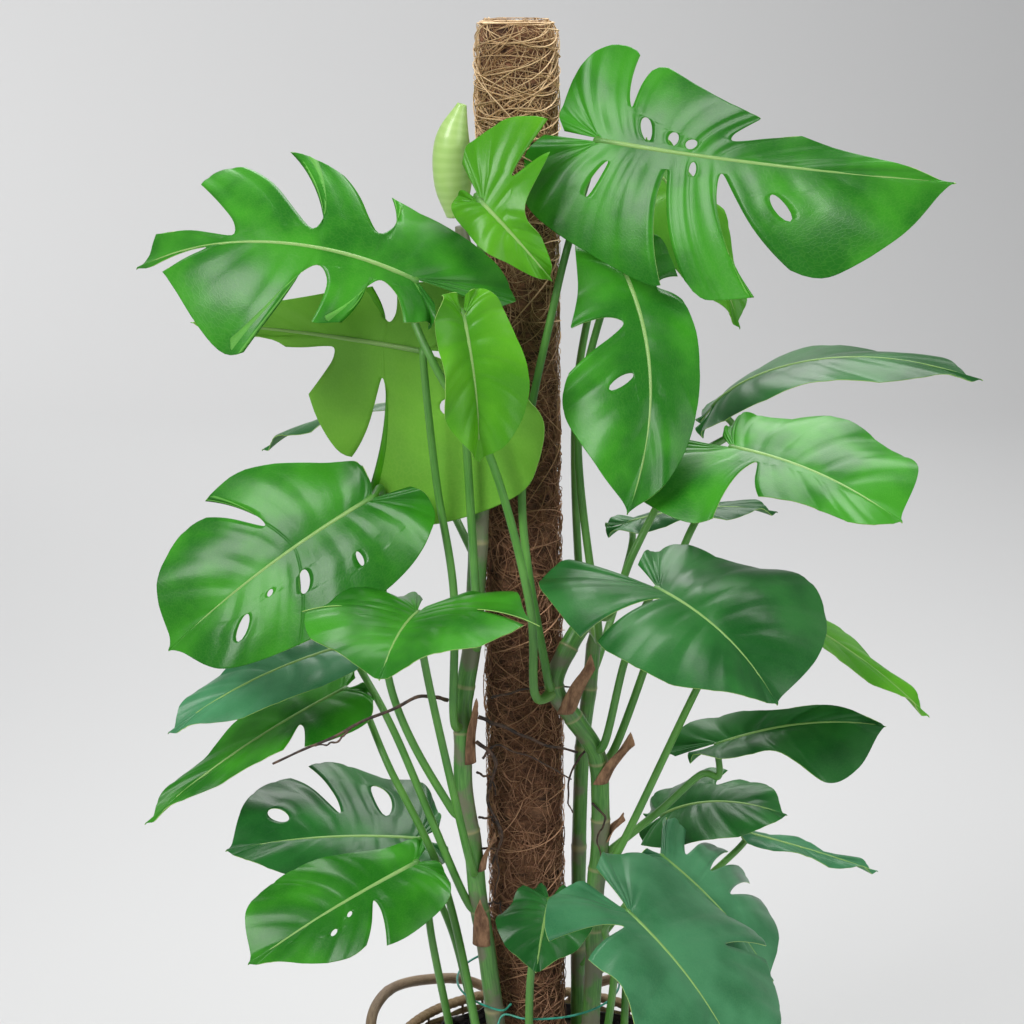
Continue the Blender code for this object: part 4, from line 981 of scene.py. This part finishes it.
# %% Bend a flat blade
def midrib(shape):
    """The midrib of unit length in its own axes: it bends down by droop and aside by curve
    toward the tip, and down by tuck toward the rear lobes. Its places are the running sum of
    its directions."""
    k = MIDRIB_STEPS
    pitch = np.where(k > 0, shape["droop"] * np.abs(k) ** shape["bend"], shape["tuck"] * k)
    yaw = shape["curve"] * np.clip(k, 0, 1)
    ahead = gather(np.cos(pitch) * np.cos(yaw), np.cos(pitch) * np.sin(yaw), -np.sin(pitch))
    up = gather(np.sin(pitch) * np.cos(yaw), np.sin(pitch) * np.sin(yaw), np.cos(pitch))
    places = np.vstack([np.zeros(3), np.cumsum((ahead[1:] + ahead[:-1]) / 2 * (k[1] - k[0]), 0)])
    places -= [np.interp(0, k, places[:, i]) for i in range(3)]
    return places, ahead, up


def leaf_axes(shape):
    """Rows ahead, left and up at the junction, turned so that the bent midrib ends at the
    tip, and the midrib's length."""
    span = shape["tip"] - shape["junction"]
    reach = np.linalg.norm(span)
    chord = span / reach
    up = unit(np.array([0, 0, 1.0]) - chord[2] * chord)
    left = np.cross(up, chord)
    roll = shape["roll"]
    up, left = (up * math.cos(roll) - left * math.sin(roll),
                left * math.cos(roll) + up * math.sin(roll))
    places = midrib(shape)[0]
    end = np.array([np.interp(1, MIDRIB_STEPS, places[:, i]) for i in range(3)])
    own_chord = unit(end)
    own_left = unit(np.cross((0, 0, 1), own_chord))
    own_up = np.cross(own_chord, own_left)
    axes = np.outer(own_chord, chord) + np.outer(own_left, left) + np.outer(own_up, up)
    return axes, reach / np.linalg.norm(end)


def outline(shape, part, length, u):
    """The margin of one half, from the gap behind the stalk (u = 0) to the tip (u = 1)."""
    back, wide, gap = part["back"], part["widths"], shape["gap"]
    most = max(wide)
    points = [(-0.80 * back, gap * most), (-back, (gap + 0.22) * most), (-0.80 * back, 0.70 * wide[0]),
              (0.02 * length, wide[0]), (0.34 * length, wide[1]), (0.64 * length, wide[2]),
              (0.86 * length, wide[3]), (0.965 * length, 0.15 * wide[3]), (length, 0)]
    return spline(points, u)


def on_blade(shape, part, length, u, t):
    """Flat place on the vein u at t of its way: a quadratic curve from the midrib to the
    margin that first leans back and then sweeps forward. Near the junction the veins start
    on a small ring round the knee."""
    margin = outline(shape, part, length, u)
    ahead = np.clip((u - KNEE_SHARE) / (1 - KNEE_SHARE), 0, 1) ** 1.25
    turn = REAR_TURN * np.clip(1 - u / KNEE_SHARE, 0, 1)
    start = gather(KNEE_HOLE * np.cos(turn) + (length - KNEE_HOLE) * ahead, KNEE_HOLE * np.sin(turn))
    bow = start + 0.5 * (margin - start)
    bow[..., 0] -= VEIN_SWEEP * length * np.sin(math.pi * np.clip(u, 0, 1)) * (0.4 + 0.6 * u)
    t = t[..., None]
    return (1 - t) ** 2 * start + 2 * t * (1 - t) * bow + t ** 2 * margin


def bent(shape, part, side, flat, lift):
    """Bend flat places of one half into space. Across the blade the slope falls evenly from
    fold by curl, so the cross-section is an arc of a circle."""
    axes, length = leaf_axes(shape)
    places, ahead, up = (m @ axes for m in midrib(shape))
    places = places * length + shape["junction"] + (0, 0, SOIL_LEVEL)
    left = np.cross(up, ahead)
    turn = (shape["twist"] * np.clip(MIDRIB_STEPS, 0, 1))[:, None]
    up, left = up * np.cos(turn) - left * np.sin(turn), left * np.cos(turn) + up * np.sin(turn)
    most, fold, curl = max(part["widths"]), part["fold"], part["curl"]
    slope = fold - curl * flat[..., 1] / most
    out = most / curl * (math.sin(fold) - np.sin(slope))
    rise = most / curl * (np.cos(slope) - math.cos(fold))

    def at(rows):
        x = flat[..., 0]
        return np.stack([np.interp(x, MIDRIB_STEPS * length, rows[:, i]) for i in range(3)], -1)

    above, aside = at(up), side * at(left)
    normal = above * np.cos(slope)[..., None] - aside * np.sin(slope)[..., None]
    return (at(places) + out[..., None] * aside + rise[..., None] * above
            + lift[..., None] * normal)


def cut_width(cut, t):
    """Half the width of a window along its vein: a slit widens outward, a hole is a long oval."""
    start, end, width = cut[1:4]
    k = np.clip((t - start) / (end - start), 0, 1)
    if end >= 1:
        return width * np.sqrt(1 - (1 - np.minimum(3 * k, 1)) ** 2) * (0.4 + 0.6 * k)
    return width * np.sqrt(np.clip(1 - (2 * k - 1) ** 2, 0, 1))


# %% Strips between the windows
def strips(shape, side, seed):
    """The surface of one half as grids between neighbouring windows, with the vein number
    and t of each point. A vein number that ends in a half is the middle of a side vein. The
    corners of the strips are rounded off beside an open window, and the blade waves toward
    its margin, sinks along the veins and is dented a little all over."""
    part = shape["left"] if side > 0 else shape["right"]
    other = shape["right"] if side > 0 else shape["left"]
    length = leaf_axes(shape)[1]
    own = {cut[0]: cut for cut in part["cuts"]}
    shut = {cut[0]: (cut[0], 1, 2, 0) for cut in other["cuts"]}
    edges = [(0, 1, 2, 0)] + [{**shut, **own}[u] for u in sorted({**shut, **own})] + [(1, 1, 2, 0)]
    stops = sorted({0, 1} | {v for cut in part["cuts"] for v in (cut[1], (cut[1] + cut[2]) / 2, cut[2])})
    t = [0.0]
    for stop in stops[1:]:
        steps = max(4, math.ceil((stop - t[-1]) * ROWS_PER_REACH))
        ease = 1 - np.cos(math.pi * np.arange(1, steps + 1) / steps)
        t += list(t[-1] + (stop - t[-1]) * ease / 2)
    t = np.array(t)[:, None]
    veins = 0
    for low, high in zip(edges, edges[1:]):
        columns = max(4, round((high[0] - low[0]) / COLUMN_WIDTH))
        c = np.linspace(0, 1, columns + 1)[None]
        begin = low[0] + cut_width(low, t)
        end = high[0] - cut_width(high, t)
        u = begin + (end - begin) * c
        trim = 0 * u
        for cut, edge, amount in ((low, (1 - c) ** 3, 0.12), (high, c ** 5, 0.04)):
            if cut[3] and cut[2] >= 1:
                trim = trim + amount * edge * np.clip((t - cut[1]) / (1 - cut[1]), 0, 1) ** 2
        reach = t * (1 - trim)
        flat = on_blade(shape, part, length, u, reach)
        free = max(low[1], high[1]) if low[3] and high[3] else 1
        drop = low[4] if len(low) > 4 else 0
        lift = WAVE * np.sin(2 * math.pi * WAVES_PER_HALF * u) * reach ** 2 * (1 - u ** 8)
        if free < 1:
            lift = lift - drop * np.clip((reach - free) / (1 - free), 0, 1) ** 1.6
        count = max(1, round((high[0] - low[0]) / VEIN_SPACING))
        vein = veins + c * count + 0 * reach
        inner = np.clip(reach * 6, 0, 1) * (1 - u ** 6)
        lift = lift - 0.0013 * np.exp(-((vein % 1 - 0.5) / 0.13) ** 2) * inner
        dents = ripple(flat[..., 0] * 42, side * flat[..., 1] * 42 + side * 2, seed, 2)
        lift = lift + 0.0016 * dents * inner
        yield bent(shape, part, side, flat, lift), vein, reach
        veins += count


# %% [markdown]
# ## The look of a leaf
#
# The upper side is waxy: deep green, with a soft gloss, and pale lines along the veins.
# The underside is paler and duller, with the veins raised. The cut edge is a thin
# yellow-green line. These are three materials on one sheet: Solidify gives the sheet its
# thickness and puts the second material below and the third round the edge.

# %% Leaf finishes
def leaf_finish(name, deep, bright, vein_colour, gloss, under=False):
    """The blade's colours, with its veins from the map: a vein's middle is where the vein
    number ends in a half."""
    made, start, shader = finish(name, gloss, Coat_Weight=0.0 if under else 0.06, Coat_Roughness=0.15,
                                 Specular_IOR_Level=0.25)
    vector = pattern(start)
    vein, reach = axis(start, vector, 0), axis(start, vector, 1)
    far = (vein - (vein - 0.5).maths("ROUND") - 0.5).maths("ABSOLUTE")
    thin = far * (0.9 + 2.4 * reach)
    line = 1 - thin.rise(0.014, 0.050)
    halo = 1 - thin.rise(0.03, 0.26)
    patch = noise(start, 13, 3)
    fine = noise(start, 120, 4, 0.6)
    net = start.node("ShaderNodeTexVoronoi", {"feature": "DISTANCE_TO_EDGE"},
                     {"Vector": stretched(start, vector, (9, 34, 1)), "Scale": 1.0})
    web = 1 - net.rise(0.0, 0.12)
    tone = patch.rise(0.36, 0.66) * 0.8 + fine * 0.2
    body = tone.mix(deep, bright)
    body = (halo * (0.55 if under else 0.30)).mix(body, vein_colour)
    body = (web * (0.16 if under else 0.07)).mix(body, vein_colour)
    colour = (line * (0.85 if under else 0.8)).mix(body, vein_colour)
    relief = (line + 0.4 * halo if under else (1 - line) - 0.5 * halo) + 0.03 * web + 0.06 * fine
    feed(start, shader, Base_Color=colour, Roughness=gloss - 0.06 + 0.16 * patch + 0.05 * line,
         height=(relief, 0.0010))
    return made


# Deep, light and vein colours of the four leaf finishes. Green and blue are the leaves' own colours; dark is
# the green darkened as painted shade; bright is partly the real yellow-green of young leaves and partly
# painted glow and sheen.
LEAF_TONES = {
    "green": ((0.008, 0.120, 0.005), (0.044, 0.290, 0.012), (0.19, 0.48, 0.08)),
    "dark": ((0.008, 0.080, 0.014), (0.024, 0.165, 0.028), (0.10, 0.30, 0.07)),
    "bright": ((0.048, 0.250, 0.005), (0.100, 0.380, 0.011), (0.28, 0.54, 0.07)),
    "blue": ((0.026, 0.150, 0.055), (0.070, 0.265, 0.118), (0.20, 0.46, 0.20)),
}
UPPER, UNDER = {}, {}
for tone, (deep, light, pale) in LEAF_TONES.items():
    UPPER[tone] = leaf_finish("leaf_" + tone, deep, light, pale, 0.29)
    dull = [tuple(0.75 * a + 0.35 * b + 0.008 for a, b in zip(c, pale)) for c in (deep, light)]
    UNDER[tone] = leaf_finish("under_" + tone, *dull, pale, 0.55, under=True)
rim_finish, start, shader = finish("leaf_rim", 0.45)
feed(start, shader, Base_Color=noise(start, 40, 2).mix((0.20, 0.42, 0.07), (0.42, 0.60, 0.16)))

stalk_skin, start, shader = finish("stalk_skin", 0.36, Coat_Weight=0.12)
lines = noise(start, 1.0, 4, 0.6, stretched(start, pattern(start), (30, 24, 1)))
patch = noise(start, 20, 3)
rib = value(start, "rib")
foot = value(start, "foot")
green = (lines * 0.5 + patch * 0.5).rise(0.3, 0.7).mix((0.050, 0.200, 0.028), (0.120, 0.340, 0.050))
green = (foot * 0.6).mix(green, (0.20, 0.30, 0.09))
feed(start, shader, Base_Color=rib.mix(green, (0.26, 0.46, 0.12)), Roughness=0.30 + 0.2 * patch,
     height=(lines, 0.0006))

# %% Grow one leaf
BLADE_THICKNESS = 0.0007
STALK_RADIUS = 0.0042
STALK_SIDES = 14
STALK_RISE = 0.014
KNEE_LENGTH = 0.035
KNEE_GAP = 0.002
STEM_LINES = np.concatenate([spline(np.asarray(points, float), np.linspace(0, 1, 300))
                             for points in (STEM_LEFT, STEM_RIGHT, STEM_BACK)])


def joined(stalk):
    """The stalk's points with one more in front: the place on a stem just below its foot,
    which it grows from. A stalk that comes out of the soil stays as it is."""
    foot = np.asarray(stalk[0], float)
    if foot[2] < 0.01:
        return [*stalk]
    apart = np.linalg.norm(STEM_LINES - (foot - (0, 0, STALK_RISE)), axis=1)
    return [STEM_LINES[apart.argmin()], *stalk]


def grow(name, shape, tone, look, seed):
    """The blade, and one tube that is its stalk, its knee and the rib under the midrib."""
    grids, maps = [], []
    for side in (1, -1):
        for grid, vein, reach in strips(shape, side, seed):
            step = 1 if side > 0 else -1
            grids.append(grid[:, ::step])
            maps.append(np.stack([vein, reach], -1)[:, ::step])
    finishes = [UPPER[look], UNDER[look], rim_finish]
    blade = put_surface(name + "_blade", grids, finishes, maps, turn_out=False)
    wall = thicken(blade, "thickness", BLADE_THICKNESS)
    wall.material_offset, wall.material_offset_rim = 1, 2
    place(blade, "leaf_" + tone, name)

    axes, length = leaf_axes(shape)
    arrive = unit(axes[2] * 0.75 + axes[0] * 0.25)
    knee = [shape["junction"] - arrive * below for below in (KNEE_LENGTH, KNEE_GAP)]
    route = [*joined(shape["stalk"]), *knee]
    s = np.linspace(0, 1, 16 * len(route))
    lower = spline(above_soil(route), s) + wobble(s, (5, 6, 0), seed)
    k = np.linspace(0.02, 0.985, 60)
    flat = gather(k * length, 0 * k)
    under = bent(shape, shape["left"], 1, flat, -0.0009 * (1 - 0.6 * k))
    path = np.concatenate([lower, under])
    swell = 0.45 * np.exp(-((s - 0.03) / 0.05) ** 2) + 0.22 * np.exp(-((s - 0.985) / 0.03) ** 2)
    wide = STALK_RADIUS * (1.12 - 0.30 * s + swell)
    radii = np.concatenate([wide, 0.0024 * (1 - k) ** 0.8 + 0.0004])
    grid, uv = tube_grid(path, radii, STALK_SIDES)
    ribs = np.concatenate([[0], 0 * s, np.clip(k * 12, 0, 1), [1]])[:, None] + 0 * uv[..., 0]
    feet = np.concatenate([[1], np.clip(1 - s * 5, 0, 1), 0 * k, [0]])[:, None] + 0 * uv[..., 0]
    tube = put_surface(name + "_stalk", [grid], [stalk_skin], [uv], {"rib": [ribs], "foot": [feet]})
    place(tube, "leaf_" + tone, name)
    return len(blade.data.polygons)


# Leaves whose finish is another than their slot's name says. The dark finish given here is painted shade for
# leaves that lie in the shade of others.
LEAF_LOOK = {"leaf_04": "dark", "leaf_07": "dark", "leaf_13": "green", "leaf_14": "dark",
             "leaf_17": "dark", "leaf_19": "dark"}
total = 0
for seed, (name, shape) in enumerate(LEAVES.items()):
    tone = LEAF_TONE.get(name, "green")
    total += grow(name, shape, tone, LEAF_LOOK.get(name, tone), 31 + seed)
print("leaves:", len(LEAVES), "faces before thickness:", total)

# %% [markdown]
# ## The new leaf
#
# A young monstera leaf comes up rolled into a spear, still pale, with the folds of its
# veins showing as bands. It is a sheet wound one and a half times round, so its radius
# grows a little with the angle, and the loose edge stands proud.

# %% Spear
NEW_LEAF = [(-0.084, -0.058, 0.966), (-0.088, -0.064, 1.000), (-0.088, -0.068, 1.04),
            (-0.078, -0.07, 1.075)]
SPEAR_TURN = 2.9 * math.pi
spear_skin, start, shader = finish("spear_skin", 0.36, Coat_Weight=0.15)
band = start.node("ShaderNodeTexWave", {"wave_type": "BANDS", "bands_direction": "Y"},
                  {"Vector": pattern(start), "Scale": 4.2, "Distortion": 2.4, "Detail": 2.0,
                   "Detail Scale": 0.8})
pale = band.rise(0.2, 0.9) * 0.14 + 0.75 * noise(start, 24, 3)
pale = pale.mix((0.26, 0.48, 0.09), (0.54, 0.72, 0.28))
feed(start, shader, Base_Color=pale, height=(band, 0.0001))
s = np.linspace(0, 1, 90)
path = spline(above_soil(NEW_LEAF), s)
_, across, third = sweep_frame(path)
radius = spline([(0.0120,), (0.0205,), (0.0190,), (0.0060,)], s)[:, 0] - 0.0012
angle = np.linspace(0, SPEAR_TURN, 110)[None]
size = radius[:, None] * (0.80 + 0.19 * angle / angle.max())
turned = angle + 2.0 * s[:, None]
grid = (path[:, None] + (size * np.cos(turned))[..., None] * across[:, None]
        + (size * np.sin(turned))[..., None] * third[:, None])
spear = put_surface("spear", [grid], [spear_skin], [gather(angle / 6.3, s[:, None])], turn_out=False)
thicken(spear, "thickness", 0.0006)
place(spear, "new_leaf_green", "new_leaf")
print("one rolled leaf")
